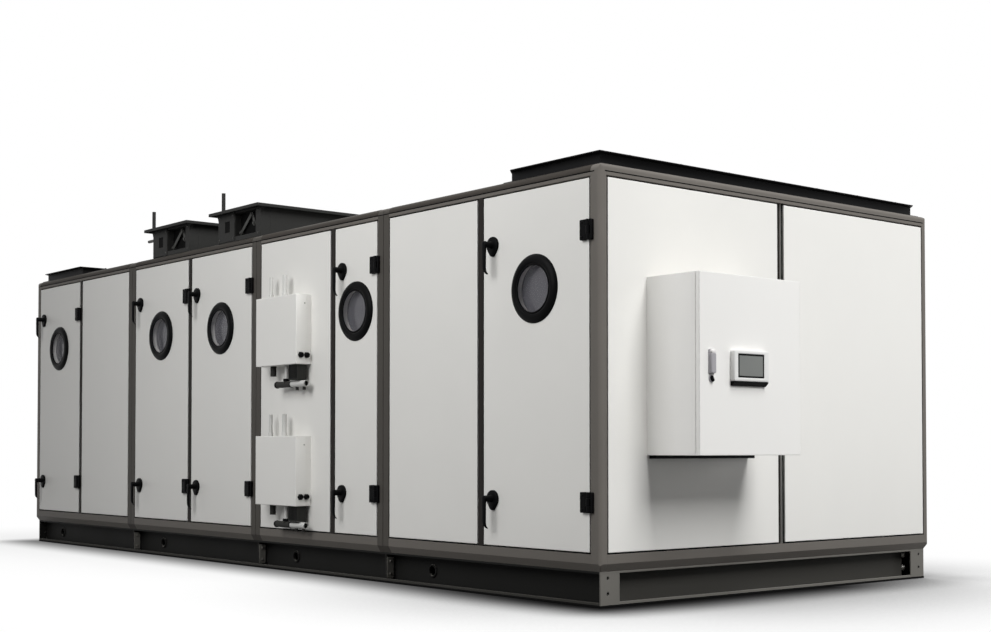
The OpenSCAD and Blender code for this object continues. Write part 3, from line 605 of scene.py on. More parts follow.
joints_x = sorted({round((low.x + high.x) / 2, 4) for low, high in solids("section_posts")}, reverse=True)
plates, liners = bmesh.new(), bmesh.new()
for y, out in sides:
    for x in joints_x:
        for face in (-1.0, 1.0):
            at = facing((x + face * rib_half, y - out * (base_inset + splice_in), casing_z / 2), (face, 0, 0))
            block(plates, at, (splice_w, casing_z - 2 * splice_gap, splice_t), 0.003, 0.001)
            for z in (-splice_bolt_up, splice_bolt_up):
                hex_bolt(plates, at @ Matrix.Translation((0.0, z, splice_t)), splice_bolt_r)
    # Painted shade: dark liners on the inner faces of the corner plates.
    for x, end in ends:
        inner_face = x - end * (base_inset + plate_t)
        at = facing((inner_face, y - out * (base_inset + liner_in), casing_z / 2), (-end, 0, 0))
        block(liners, at, (liner_w, casing_z - 2 * liner_gap, liner_t), 0.002, 0.0008)
piece("base_splice_plates", plates, base_end_grey)
piece("corner_plate_shade_liners", liners, base_shaded_grey)


# Channel edges. Strips on the lower lips of the side channels in a paler grey than the webs, painted
# light where the lips catch it, and steel rings welded round the lifting holes.
lip_h, lip_t, lip_soft = 0.0226, 0.0012, 0.001
lip_from = base_inset + plate_t + 0.002
lip_face, lip_back = base_inset - lip_t, base_inset + plate_t
lip_section = ((lip_face, strip_h), (lip_face, lip_h - lip_soft), (lip_face + lip_soft, lip_h),
               (lip_back, lip_h), (lip_back, lip_h - lip_soft), (base_inset + lip_soft, strip_h))
shape = bmesh.new()
for y, out in sides:
    loft(shape, [[Vector((x, y - out * inset, z)) for inset, z in lip_section]
                 for x in (near_x - lip_from, far_x + lip_from)])
piece("base_lip_strips", shape, lip_lit_grey)

lift_hole_in, lift_hole_r = 0.340, 0.025
lift_ring_section = ((0.0, -0.004), (0.0, 0.006), (0.002, 0.008), (0.007, 0.008), (0.009, 0.006),
                     (0.011, 0.0))
shape = bmesh.new()
for x in joints_x + [far_x]:
    for y, out in sides:
        at = facing((x + lift_hole_in, y - out * web_depth, casing_z / 2), (0, out, 0))
        turned(shape, at, [(lift_hole_r + more, z) for more, z in lift_ring_section], 32)
piece("lifting_rings", shape, base_shaded_grey)


# Casing frame. Extruded aluminium posts and rails in a warm dark grey coat, rounded along the roof
# and tapered at the foot, with a double post and a black sealing strip where two sections are bolted.
frame_grey = finish("frame_powder_coat", srgb(108, 104, 99), 0.50, worn_and_lit_edge=srgb(136, 132, 127), worn_and_lit_amount=0.3,
                    dust_and_top_shading_amount=0.02, specular=0.10)
# Painted shade: the section posts take a darker copy of the frame coat, for the shade between the panels.
joint_shaded_grey = finish("section_post_painted_shade_coat", srgb(76, 73, 69), 0.52, worn_and_lit_edge=srgb(112, 108, 104), worn_and_lit_amount=0.3,
                    specular=0.08)
# Painted shade: the mullions take a much darker copy of the frame coat, for the shade between the panels.
mullion_shaded_grey = finish("mullion_painted_shade_coat", srgb(40, 37, 35), 0.55, worn_and_lit_edge=srgb(70, 66, 63), worn_and_lit_amount=0.3,
                      specular=0.06)
coat(frame_grey, "bottom_rails", "top_rails", "corner_posts")
coat(joint_shaded_grey, "section_posts")
coat(mullion_shaded_grey, "mullions")

bead_steps = 6
joint_bead_in, joint_bead_from, bead_end = 0.006, 0.04, 0.034
joint_bead_size, cap_bead_size = (0.0038, 0.0045), (0.006, 0.0018)
cap_bead_sunk = 0.0005
cap_line = 0.036


def half_round(width, height):
    """Cross-section of a sealing bead, flat below."""
    arc = [math.pi * k / bead_steps for k in range(bead_steps + 1)]
    return [(width / 2 * math.cos(a), height * math.sin(a)) for a in arc]


def straight_bead(shape, start, stop, out, size):
    """A sealing bead from one point to another that bulges outwards."""
    out = Vector(out)
    across = out.cross(Vector(stop) - Vector(start)).normalized()
    section = [across * u + out * v for u, v in half_round(*size)]
    loft(shape, [[Vector(point) + offset for offset in section] for point in (start, stop)])


cap_z = roof_z - cap_line
shape = bmesh.new()
for x in joints_x:
    for y, out in sides:
        inside_y = y - out * joint_bead_in
        straight_bead(shape, (x, inside_y, casing_z + joint_bead_from), (x, inside_y, roof_z - bead_end),
                      (0, out, 0), joint_bead_size)
for y, out in sides:
    inside_y = y - out * cap_bead_sunk
    straight_bead(shape, (near_x - bead_end, inside_y, cap_z), (far_x + bead_end, inside_y, cap_z),
                  (0, out, 0), cap_bead_size)
for x, out in ends:
    inside_x = x - out * cap_bead_sunk
    straight_bead(shape, (inside_x, front_y + bead_end, cap_z), (inside_x, back_y - bead_end, cap_z),
                  (out, 0, 0), cap_bead_size)
piece("frame_seals", shape, seal_rubber)


# Rail covers. Dark folded strips clipped over the upper part of the roof's side rails, round the edge
# and a little way on to the roof, between the posts.
cover_grey = finish("rail_cover_coat", srgb(62, 58, 54), 0.55, worn_and_lit_edge=srgb(96, 92, 87), worn_and_lit_amount=0.3, dust_and_top_shading_amount=0.05,
                    specular=0.06)
post_half, corner_w = 0.052, 0.060
roof_r, cover_t, cover_sunk, cover_steps = 0.032, 0.0012, 0.0004, 6
cover_up, cover_on_roof = 0.003, 0.012
cover_runs = list(zip([near_x - corner_w] + [x - post_half for x in joints_x],
                      [x + post_half for x in joints_x] + [far_x + corner_w]))
bend = [(math.cos(a), math.sin(a)) for a in [math.pi / 2 * k / cover_steps for k in range(cover_steps + 1)]]
rail_line = [(0.0, cover_up - cap_line, 1.0, 0.0)]
rail_line += [(roof_r * (1 - out), roof_r * up - roof_r, out, up) for out, up in bend]
rail_line += [(roof_r + cover_on_roof, 0.0, 0.0, 1.0)]
cover_section = [(inset - cover_t * out, z + cover_t * up) for inset, z, out, up in rail_line]
cover_section += [(inset + cover_sunk * out, z - cover_sunk * up)
                  for inset, z, out, up in reversed(rail_line)]
shape = bmesh.new()
for y, out in sides:
    for run in cover_runs:
        loft(shape, [[Vector((x, y - out * inset, roof_z + z)) for inset, z in cover_section] for x in run])
piece("rail_covers", shape, cover_grey)


# Panels. Two skins of coated sheet steel round an insulated core, folded at the edges and held in the
# frame's bays by a rubber bead in the groove round each one. The roof sheets are screwed down.
# The panels' near-white edge colour is a painted highlight along their folded edges.
panel_white = finish("panel_powder_coat", srgb(233, 232, 228), 0.42, worn_and_lit_edge=srgb(252, 252, 250), worn_and_lit_amount=0.9,
                     worn_and_lit_width=0.006, dust_and_top_shading_amount=0.12, mottle=0.02, grain_scale=700.0, grain_depth=0.0001)
# Painted shade: the roof panels take a much darker grey than the wall panels, so that the strongly lit roof
# does not glare.
roof_shaded_white = finish("roof_painted_shade_coat", srgb(116, 115, 112), 0.55, worn_and_lit_edge=srgb(140, 139, 135), worn_and_lit_amount=0.3,
                    dust_and_top_shading_amount=0.3, mottle=0.06, grain_scale=700.0, grain_depth=0.0001)
coat(panel_white, "front_panels", "back_panels", "end_panels", "floor_panels")
coat(roof_shaded_white, "roof_panels")
groove_w, groove_d = 0.008, 0.012
groove_bead_size = (groove_w - 0.0006, 0.0055)
roof_screw_gap, roof_screw_in, roof_screw_end, roof_screw_r = 0.36, 0.022, 0.03, 0.006


def groove_bead(shape, at, width, height):
    """A rubber bead in the groove round a panel, mitred at the corners, about a frame at its middle."""
    half_w, half_h = (width - groove_w) / 2, (height - groove_w) / 2
    loft(shape, [[at @ Vector((sx * (half_w + u), sy * (half_h + u), v - groove_d))
                  for u, v in half_round(*groove_bead_size)]
                 for sx, sy in ((1, 1), (-1, 1), (-1, -1), (1, -1))], True)


def screw(shape, at, r):
    """A domed screw head with a round drive recess."""
    profile = [(0.0, 0.28), (0.34, 0.28), (0.40, 0.62), (0.72, 0.52), (0.95, 0.25), (1.0, -0.1), (0.0, -0.1)]
    turned(shape, at, [(u * r, v * r) for u, v in profile], 12)


shape = bmesh.new()
for node in ("front_panels", "back_panels", "end_panels"):
    for low, high in solids(node):
        middle, size = (low + high) / 2, high - low
        if node == "end_panels":
            x, out = ends[0] if middle.x > 0 else ends[1]
            groove_bead(shape, facing((x, middle.y, middle.z), (out, 0, 0)), size.y, size.z)
        else:
            y, out = sides[0] if node == "front_panels" else sides[1]
            groove_bead(shape, facing((middle.x, y, middle.z), (0, out, 0)), size.x, size.z)
piece("panel_gaskets", shape, seal_rubber)

shape = bmesh.new()
for low, high in solids("roof_panels"):
    size = high - low
    for axis, other in ((0, 1), (1, 0)):
        run = size[axis] - 2 * roof_screw_end
        count = max(2, round(run / roof_screw_gap) + 1)
        for k in range(count):
            for edge in (low[other] + roof_screw_in, high[other] - roof_screw_in):
                place = Vector((0.0, 0.0, roof_z))
                place[axis] = low[axis] + roof_screw_end + run * k / (count - 1)
                place[other] = edge
                screw(shape, facing(place, to_sky), roof_screw_r)
piece("roof_screws", shape, zinc)


# Duct collars. Z-shaped black sheet on the roof over the supply and return ends, with the flange's
# corners cut off, bolts along the flange and screws through the foot.
collar_black = finish("collar_black", srgb(20, 20, 21), 0.50, worn_and_lit_edge=srgb(60, 60, 60), worn_and_lit_amount=0.3, dust_and_top_shading_amount=0.2,
                      specular=0.06)
collar_h, collar_t = 0.060, 0.005
flange_out, lip_out, foot_out = 0.040, 0.016, 0.030
flange_cut, foot_cut, wall_cut, flange_soft = 0.052, 0.004, 0.002, 0.001
collar_fixings = 7
foot_screw_front, foot_screw_back, foot_screw_r = 0.020, 0.018, 0.0045
flange_bolt_out, flange_bolt_r = 0.020, 0.0055


def collar_outline(low, high, reach, cut, z):
    """A collar's outline at a height, its far front and near back corners cut off.

    The reach is how far it stands out from the walls, which run between low and high, to the far end,
    the near end, the front and the back."""
    far, near, front, back = reach
    x0, x1, y0, y1 = low.x - far, high.x + near, low.y - front, high.y + back
    plan = ((x1, y0), (x1, y1 - cut), (x1 - cut, y1), (x0, y1), (x0, y0 + cut), (x0 + cut, y0))
    return [Vector((x, y, z)) for x, y in plan]


foot = (foot_out,) * 4
wall = (0.0,) * 4
inside = (-collar_t,) * 4
flange = (lip_out, flange_out, flange_out, lip_out)
flange_top = tuple(out - flange_soft for out in flange)
collar_top = roof_z + collar_h
collar_levels = ((foot, foot_cut, roof_z), (foot, foot_cut, roof_z + collar_t),
                 (wall, wall_cut, roof_z + collar_t), (wall, wall_cut, collar_top - collar_t),
                 (flange, flange_cut, collar_top - collar_t),
                 (flange, flange_cut, collar_top - flange_soft), (flange_top, flange_cut, collar_top),
                 (inside, wall_cut, collar_top), (inside, wall_cut, roof_z))
collars, fixings = bmesh.new(), bmesh.new()
for low, high in solids("roof_collars"):
    wall_low = Vector((low.x + foot_out, low.y + flange_out))
    wall_high = Vector((high.x - flange_out, high.y - foot_out))
    loft(collars, [collar_outline(wall_low, wall_high, *level) for level in collar_levels], True)
    for k in range(collar_fixings):
        x, y = wall_low + (wall_high - wall_low) * (k + 0.5) / collar_fixings
        for screw_y in (wall_low.y - foot_screw_front, wall_high.y + foot_screw_back):
            screw(fixings, facing((x, screw_y, roof_z + collar_t), to_sky), foot_screw_r)
        hex_bolt(fixings, facing((wall_high.x + flange_bolt_out, y, collar_top), to_sky), flange_bolt_r)
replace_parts(piece("collar_frames", collars, collar_black), "roof_collars")
piece("collar_screws", fixings, collar_black)


# Dampers. Welded grey frames across the roof, each with three blades on shafts. At the front a crank
# and link stand in a recess backed with a black sheet as painted shade, beside a folded post plate
# with a slot backed black in the same way.
damper_grey = finish("damper_grey", srgb(44, 44, 43), 0.55, worn_and_lit_edge=srgb(84, 84, 81), worn_and_lit_amount=0.4, dust_and_top_shading_amount=0.25,
                     specular=0.08)
# Painted shade: the black of the sheets at the back of the damper recess and behind the post plate's slot.
damper_recess_shade = finish("damper_recess_painted_shade", srgb(9, 9, 9), 0.70, worn_and_lit_amount=0.05, dust_and_top_shading_amount=0.05, specular=0.04)
blade_metal = finish("blade_aluminium", srgb(150, 150, 148), 0.42, metallic=0.8, dust_and_top_shading_amount=0.45)
linkage_zinc = finish("linkage_zinc", srgb(70, 70, 68), 0.45, metallic=0.5, dust_and_top_shading_amount=0.2, specular=0.2)
coat(damper_grey, "damper_frames", "damper_flanges")
coat(blade_metal, "damper_blades")
coat(linkage_zinc, "damper_linkages")
damper_y = front_y + 0.020
damper_l, damper_h = 0.512, 0.188
rim_w, post_w, rail_h, head_h, recess_d = 0.052, 0.210, 0.028, 0.014, 0.044
recess_w = damper_l - rim_w - post_w
recess_h = damper_h - rail_h - head_h
backing_gap = 0.002
slot_left, slot_right, slot_low, slot_high = 0.088, 0.148, 0.062, 0.132
post_plate_t, post_plate_in = 0.003, 0.004
plate_right, plate_top = post_w - post_plate_in, damper_h - post_plate_in
post_plate_strips = ((slot_right, plate_right, post_plate_in, plate_top),
                     (post_plate_in, slot_left, post_plate_in, plate_top),
                     (slot_left, slot_right, post_plate_in, slot_low),
                     (slot_left, slot_right, slot_high, plate_top))
damper_screw_r = 0.006
damper_screw_heights = (0.022, damper_h - 0.024)
damper_screw_spots = ((0.020, post_plate_t), (post_w - 0.024, post_plate_t), (damper_l - rim_w / 2, 0.0))
short_flange = 0.3
flanges = solids("damper_flanges")
damper_spots = sorted({round((low.x + high.x) / 2, 3) for low, high in flanges
                       if high.y - low.y < short_flange})

backs, plates, fixings = bmesh.new(), bmesh.new(), bmesh.new()
for middle_x in damper_spots:
    left_x = middle_x - damper_l / 2
    recess_x = left_x + post_w + recess_w / 2
    at = facing((recess_x, damper_y + recess_d, roof_z + rail_h + recess_h / 2), to_front)
    block(backs, at, (recess_w - backing_gap, recess_h - backing_gap, 0.0015), 0.001, 0.0005)
    slot_x, slot_z = left_x + (slot_left + slot_right) / 2, roof_z + (slot_low + slot_high) / 2
    at = facing((slot_x, damper_y, slot_z), to_front)
    slot_size = (slot_right - slot_left - backing_gap, slot_high - slot_low - backing_gap, 0.001)
    block(backs, at, slot_size, 0.001, 0.0004)
    for x0, x1, z0, z1 in post_plate_strips:
        at = facing((left_x + (x0 + x1) / 2, damper_y, roof_z + (z0 + z1) / 2), to_front)
        block(plates, at, (x1 - x0, z1 - z0, post_plate_t), 0.001, 0.0008)
    for x, proud in damper_screw_spots:
        for z in damper_screw_heights:
            screw(fixings, facing((left_x + x, damper_y - proud, roof_z + z), to_front), damper_screw_r)
piece("damper_recess_shade_backs", backs, damper_recess_shade)
piece("damper_post_plates", plates, damper_grey)
piece("damper_screws", fixings, linkage_zinc)


# Damper linkage. Zinc-plated nuts hold the crank on its shaft, the link on the crank and the link's
# foot, and the far damper's drive spindle ends in a turned tip beside its post.
crank_t, crank_l, crank_lean = 0.008, 0.063, math.radians(18.0)
link_run, link_drop = 0.126, 0.106
near_blade, shaft_z = 0.124, 0.097
hub_nut_r, tip_nut_r, foot_nut_r = 0.010, 0.008, 0.009
spindle_in, spindle_z = 0.016, 0.126
spindle_profile = [(0.0, 0.098), (0.0080, 0.098), (0.0100, 0.096), (0.0100, 0.012), (0.0130, 0.011),
                   (0.0140, 0.009), (0.0140, 0.0), (0.0, 0.0)]
hub = Vector((0.0, 0.0, crank_t))
tip = Vector((-crank_l * math.sin(crank_lean), crank_l * math.cos(crank_lean), 2 * crank_t))
link_foot = tip - Vector((link_run, link_drop, 0.0))
shape = bmesh.new()
for middle_x in damper_spots:
    at = facing((middle_x + near_blade, damper_y + recess_d, roof_z + shaft_z), to_front)
    for place, r in ((hub, hub_nut_r), (tip, tip_nut_r), (link_foot, foot_nut_r)):
        hex_bolt(shape, at @ Matrix.Translation(place), r)
at = facing((damper_spots[0] - damper_l / 2, damper_y + spindle_in, roof_z + spindle_z), (-1, 0, 0))
turned(shape, at, spindle_profile, 20)
piece("damper_nuts", shape, linkage_zinc)


# Damper rims. The edges of the flanges' sheet steel, folded down all round to stiffen them and coated
# with the frames.
rim_h, rim_t, rim_out, rim_up = 0.018, 0.003, 0.001, 0.0005
flange_z = roof_z + 0.194
flange_reach = damper_l / 2 + 0.05
rim_section = ((rim_out, rim_up), (rim_out, -rim_h), (-rim_t, -rim_h), (-rim_t, rim_up))
shape = bmesh.new()
for middle_x in damper_spots:
    own = [box for box in flanges if abs((box[0].x + box[1].x) / 2 - middle_x) < flange_reach]
    low = Vector([min(box[0][i] for box in own) for i in range(3)])
    high = Vector([max(box[1][i] for box in own) for i in range(3)])
    plan = ((high.x, low.y, 1, -1), (high.x, high.y, 1, 1), (low.x, high.y, -1, 1), (low.x, low.y, -1, -1))
    loft(shape, [[Vector((x + sx * out, y + sy * out, flange_z + z)) for out, z in rim_section]
                 for x, y, sx, sy in plan], True)
piece("damper_rims", shape, damper_grey)


# Valve boxes. White sheet steel boxes with a lid, hung on the coil section, with white pipe stubs on
# top, a white branch pipe below, and black couplings, clamps and cable glands.
valve_white = finish("valve_box_powder_coat", srgb(233, 232, 228), 0.42, worn_and_lit_edge=srgb(205, 204, 200), worn_and_lit_amount=0.2,
                     dust_and_top_shading_amount=0.3, mottle=0.02)
pipe_white = finish("pipe_sleeve_white", srgb(200, 200, 197), 0.50, worn_and_lit_amount=0.05, dust_and_top_shading_amount=0.1, mottle=0.02)
# Black plastic, and the black of the strips that paint the shadows under the control box and the touch panel.
black_plastic = finish("black_plastic", srgb(7, 7, 8), 0.40, worn_and_lit_edge=srgb(30, 30, 30), worn_and_lit_amount=0.1,
                       worn_and_lit_width=0.0015, dust_and_top_shading_amount=0.03, grain_scale=1400.0, grain_depth=0.00005,
                       specular=0.035)
fitting_grey = finish("fitting_grey", srgb(46, 46, 44), 0.50, worn_and_lit_edge=srgb(80, 80, 78), worn_and_lit_amount=0.2, dust_and_top_shading_amount=0.1,
                      specular=0.06)
coat(valve_white, "valve_boxes")
coat(fitting_grey, "valve_fittings")
lid_line, lid_over, lid_proud = 0.030, 0.001, 0.0008
lid_screw_out, lid_screw_in, lid_screw_r = 0.044, 0.05, 0.005
stubs = ((0.088, 0.011), (0.240, 0.014))
stub_h = 0.128
riser_at, riser_r, riser_h = 0.262, 0.012, 0.086
branch_at, branch_r, branch_l, branch_drop = 0.321, 0.019, 0.158, 0.112
pipe_wall, pipe_open, pipe_soft = 0.003, 0.05, 0.001
union_section = ((0.0, 0.024), (0.0030, 0.0225), (0.0034, 0.020), (0.0034, 0.004), (0.0028, 0.0))
gland_z, gland_apart = 0.052, 0.020
gland_nut_profile = [(0.0, 0.006), (0.0172, 0.006), (0.0185, 0.0045), (0.0185, -0.001), (0.0, -0.001)]
gland_cap_profile = [(0.0, 0.015), (0.006, 0.015), (0.0085, 0.018), (0.0125, 0.017), (0.0152, 0.013),
                     (0.0155, 0.005), (0.0, 0.005)]
flute_at, flute_out, flute_drop, flute_apart = 0.3805, 0.0295, 0.045, 0.013
flute_size = (0.005, 0.076, 0.003)
clamps_at, riser_clamp_drop = (0.159, 0.3185), 0.002
clamp_profile = [(0.0175, -0.004), (0.0200, -0.003), (0.0205, 0.0), (0.0205, 0.006), (0.0200, 0.009),
                 (0.0175, 0.010)]


def tube(shape, at, r, length, union=False):
    """A pipe with an open end and, where it asks for one, a union ring at its foot."""
    bore = r - pipe_wall
    start = [(r + more, z) for more, z in union_section] if union else [(r, 0.0)]
    turned(shape, at, [(0.0, length - pipe_open), (bore, length - pipe_open), (bore, length - pipe_soft),
                       (bore + pipe_soft, length), (r - pipe_soft, length), (r, length - pipe_soft),
                       *start, (0.0, 0.0)], 28)


lids, pipes, glands, fixings = bmesh.new(), bmesh.new(), bmesh.new(), bmesh.new()
for low, high in solids("valve_boxes"):
    middle, size = (low + high) / 2, high - low
    lid_y = front_y - lid_line
    at = facing((middle.x, lid_y, middle.z), to_front)
    block(lids, at, (size.x + 2 * lid_over, size.z + 2 * lid_over, lid_y - low.y + lid_proud), 0.004, 0.003)
    for x, out in ((low.x - lid_over, -1.0), (high.x + lid_over, 1.0)):
        for z in (low.z + lid_screw_in, high.z - lid_screw_in):
            screw(fixings, facing((x, front_y - lid_screw_out, z), (out, 0, 0)), lid_screw_r)
    for stub_at, r in stubs:
        tube(pipes, facing((low.x + stub_at, middle.y, high.z), to_sky), r, stub_h, True)
    branch_z = low.z - branch_drop
    tube(pipes, facing((low.x + riser_at, middle.y, low.z), (0, 0, -1)), riser_r, riser_h)
    tube(pipes, facing((low.x + branch_at, middle.y, branch_z), to_control_end), branch_r, branch_l)
    for side in (-1.0, 1.0):
        at = facing((high.x, middle.y + side * gland_apart, low.z + gland_z), to_control_end)
        turned(glands, at, gland_nut_profile, 6)
        turned(glands, at, gland_cap_profile, 24)
    for k in range(-3, 4):
        place = (low.x + flute_at + k * flute_apart, middle.y - flute_out, low.z - flute_drop)
        block(glands, facing(place, to_front), flute_size, 0.001, 0.001)
    rings = [facing((low.x + clamp_at, middle.y, branch_z), to_control_end) for clamp_at in clamps_at]
    rings.append(facing((low.x + riser_at, middle.y, low.z - riser_h - riser_clamp_drop), to_sky))
    for at in rings:
        turned(glands, at, clamp_profile, 28)
piece("valve_box_lids", lids, valve_white)
piece("valve_box_screws", fixings, zinc)
piece("valve_gland_nuts", glands, black_plastic)
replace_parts(piece("valve_pipe_tubes", pipes, pipe_white), "valve_pipes")


# Doors. Leaves like the panels, closing on a black rubber seal. Each has a double-glazed window in a
# moulded ring with a pale liner, two lever handles with drop-shaped roses, and two lift-off hinges.
coat(seal_rubber, "door_seals")
pane_mottle, pane_rough, pane_specular = 0.06, (0.03, 0.07), 0.4


def pane(name, colour, alpha):
    """Tinted glass that lets through a share of what is behind it."""
    material, tree, shader = new_material(name)
    patches = placed(tree, skin, grain_scale=60.0).outputs["Patches"]
    tint = mixed(tree, patches, shade(colour, 1.0 - pane_mottle), shade(colour, 1.0 + pane_mottle))
    tree.links.new(tint, shader.inputs["Base Color"])
    tree.links.new(ramp(tree, patches, 0.0, 1.0, *pane_rough), shader.inputs["Roughness"])
    shader.inputs["Alpha"].default_value = alpha
    shader.inputs["Specular IOR Level"].default_value = pane_specular
    return material


window_glass = pane("window_glass", srgb(100, 99, 106), 0.10)
# The inner pane is all but opaque grey: painted shade for the dim inside of the unit seen through the window.
inner_glass_shade = pane("window_inner_pane_painted_shade", srgb(98, 97, 103), 0.97)
liner_white = finish("window_liner_white", srgb(236, 235, 232), 0.45, worn_and_lit_amount=0.05, dust_and_top_shading_amount=0.0, mottle=0.02)
window_z = 1.475
ring_profile = [
    (0.1110, 0.0083), (0.1110, 0.0130), (0.1125, 0.0148), (0.1155, 0.0152), (0.1185, 0.0148),
    (0.1200, 0.0125), (0.1215, 0.0125), (0.1230, 0.0150), (0.1270, 0.0170), (0.1330, 0.0178),
    (0.1400, 0.0175), (0.1480, 0.0155), (0.1550, 0.0118), (0.1610, 0.0072), (0.1645, 0.0030),
    (0.1650, 0.0), (0.1397, 0.0), (0.1397, -0.0445), (0.1252, -0.0445), (0.1252, 0.0083)]
liner_profile = [(0.1250, 0.0010), (0.1238, 0.0016), (0.1232, 0.0008), (0.1232, -0.0260), (0.1250, -0.0260)]
inner_pane_profile = [(0.0, -0.0265), (0.1235, -0.0265), (0.1245, -0.0272), (0.1245, -0.0298),
                      (0.1235, -0.0305), (0.0, -0.0305)]

# Lever handles: the rose's steps of scale and height, the stem, and the lever's stations, each with
# its height, its distance from the door, its lean, its width and its thickness
fitting_heights = (0.474, 1.712)
handle_in = 0.072
rose_w, rose_h, rose_tip = 0.084, 0.098, 0.022
rose_levels = ((1.0, 0.0), (1.0, 0.0085), (0.97, 0.0105), (0.90, 0.0120), (0.74, 0.0134), (0.45, 0.0144))
stem_profile = [(0.0, 0.0650), (0.0100, 0.0650), (0.0140, 0.0630), (0.0155, 0.0590), (0.0155, 0.0260),
                (0.0175, 0.0170), (0.0185, 0.0120), (0.0, 0.0120)]
lever_stations = (
    (0.016, 0.0560, 0.0, 0.018, 0.010), (0.012, 0.0575, 0.0, 0.024, 0.0145),
    (-0.030, 0.0585, 0.0, 0.024, 0.0150), (-0.090, 0.0585, 0.0, 0.022, 0.0140),
    (-0.114, 0.0580, -0.12, 0.021, 0.0135),
    (-0.128, 0.0545, -0.45, 0.021, 0.0130), (-0.137, 0.0470, -0.80, 0.020, 0.0120),
    (-0.1415, 0.0400, -1.0, 0.016, 0.0080))
lever_round = 0.45


def rose_outline(wide, tall, tip, steps=10):
    """A disc drawn out to a rounded tip below, about the disc's middle."""
    r = wide / 2
    drop = tall - r - tip
    lean = math.asin((r - tip) / drop)
    disc = [-lean + (math.pi + 2 * lean) * k / (2 * steps) for k in range(2 * steps + 1)]
    end = [math.pi + lean + (math.pi - 2 * lean) * k / steps for k in range(steps + 1)]
    return ([(r * math.cos(a), r * math.sin(a)) for a in disc]
            + [(tip * math.cos(a), -drop + tip * math.sin(a)) for a in end])


def lever_handle(shape, at):
    """A crowned rose, a stem, and a lever that hangs down and turns in at its foot."""
    rose = rose_outline(rose_w, rose_h, rose_tip)
    loft(shape, [[at @ Vector((scale * x, scale * y, z)) for x, y in rose] for scale, z in rose_levels])
    turned(shape, at, stem_profile, 24)
    loops = []
    for y, z, lean, width, thick in lever_stations:
        outline = rounded_outline(width, thick, lever_round * thick, 3)
        loops.append([at @ Vector((u, y - v * math.sin(lean), z + v * math.cos(lean))) for u, v in outline])
    loft(shape, loops)


# Hinges: each half's plate width, plate thickness and knuckles, by their lower and upper ends
hinge_out, hinge_h, pin_out = 0.012, 0.094, 0.004
knuckle_r, knuckle_soft = 0.0110, 0.0012
hinge_plate_from = 0.013
tongue_at, tongue_w, tongue_from = 0.0085, 0.0115, 0.0055
leaf_half = (0.038, 0.018, ((-0.0185, 0.0185),))
post_side_half = (0.012, 0.014, ((-0.047, -0.0188), (0.0188, 0.047)))
hinge_screw_in, hinge_screw_up, hinge_screw_r = 0.034, 0.034, 0.006


def hinge_half(shape, at, side, width, thick, knuckles):
    """One half of a hinge about its pin: a softened plate, its knuckles and the tongues between them."""
    plate = at @ Matrix.Translation((side * (hinge_plate_from + width / 2), 0.0, 0.0))
    block(shape, plate, (width, hinge_h, thick), 0.005, 0.003)
    upright = at @ Matrix.Translation((0.0, 0.0, hinge_out)) @ Matrix.Rotation(-math.pi / 2, 4, "X")
    end_r = knuckle_r - knuckle_soft
    for y0, y1 in knuckles:
        turned(shape, upright, [(0.0, y0), (end_r, y0), (knuckle_r, y0 + knuckle_soft),
                                (knuckle_r, y1 - knuckle_soft), (end_r, y1), (0.0, y1)], 28)
        tongue = at @ Matrix.Translation((side * tongue_at, (y0 + y1) / 2, 0.0))
        block(shape, tongue, (tongue_w, y1 - y0, thick - tongue_from), 0.001, 0.001, tongue_from)


door_count = 5
posts = bmesh.new()
for number in range(1, door_count + 1):
    door = f"door_{number}"
    coat(panel_white, f"{door}_leaf")
    coat(window_glass, f"{door}_window_glass")
    leaf_low, leaf_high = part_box(f"{door}_leaf")
    ring, liner, inner_pane, furniture = bmesh.new(), bmesh.new(), bmesh.new(), bmesh.new()
    window = facing(((leaf_low.x + leaf_high.x) / 2, front_y, window_z), to_front)
    turned(ring, window, ring_profile, 112)
    turned(liner, window, liner_profile, 72)
    turned(inner_pane, window, inner_pane_profile, 72)
    for height in fitting_heights:
        lever_handle(furniture, facing((leaf_low.x + handle_in, front_y, height), to_front))
        pin = facing((leaf_high.x + pin_out, front_y, height), to_front)
        hinge_half(furniture, pin, -1.0, *leaf_half)
        hinge_half(posts, pin, 1.0, *post_side_half)
        for y in (-hinge_screw_up, hinge_screw_up):
            screw(furniture, pin @ Matrix.Translation((-hinge_screw_in, y, leaf_half[1])), hinge_screw_r)
    made = piece(f"{door}_ring", ring, black_plastic, door)
    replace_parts(made, f"{door}_window_ring")
    piece(f"{door}_liner", liner, liner_white, door)
    piece(f"{door}_inner_pane", inner_pane, inner_glass_shade, door)
    made = piece(f"{door}_furniture", furniture, black_plastic, door)
    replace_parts(made, f"{door}_fittings")
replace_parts(piece("hinge_halves", posts, black_plastic), "hinge_posts")


# Control box. A white sheet steel box on the end wall, with a black strip under it that paints the
# contact shadow, and a hinged door that carries a flat swing handle with a lock below it.
# The box's near-white edge colour is a painted highlight along its edges; its thick dusting is partly dust
# and partly painted shade on the brightly lit top.
box_white = finish("control_box_powder_coat", srgb(238, 237, 234), 0.38, worn_and_lit_edge=srgb(255, 255, 254), worn_and_lit_amount=1.0,
                   worn_and_lit_width=0.006, dust_and_top_shading_amount=0.9, mottle=0.015)
handle_grey = finish("swing_handle_grey", srgb(158, 156, 160), 0.36, worn_and_lit_amount=0.1, dust_and_top_shading_amount=0.05)
handle_cap_white = finish("swing_handle_cap", srgb(236, 234, 232), 0.36, worn_and_lit_amount=0.05, dust_and_top_shading_amount=0.05)
coat(box_white, "control_box", "control_box_door")
shadow_strip_h, shadow_strip_d, shadow_strip_in = 0.016, 0.045, 0.015
handle_along, handle_up, lock_up = 0.076, 0.422, 0.345
grip_from, grip_t = 0.0055, 0.0125
grip_down, cap_up = 0.008, 0.045
lock_turn = math.radians(32.0)
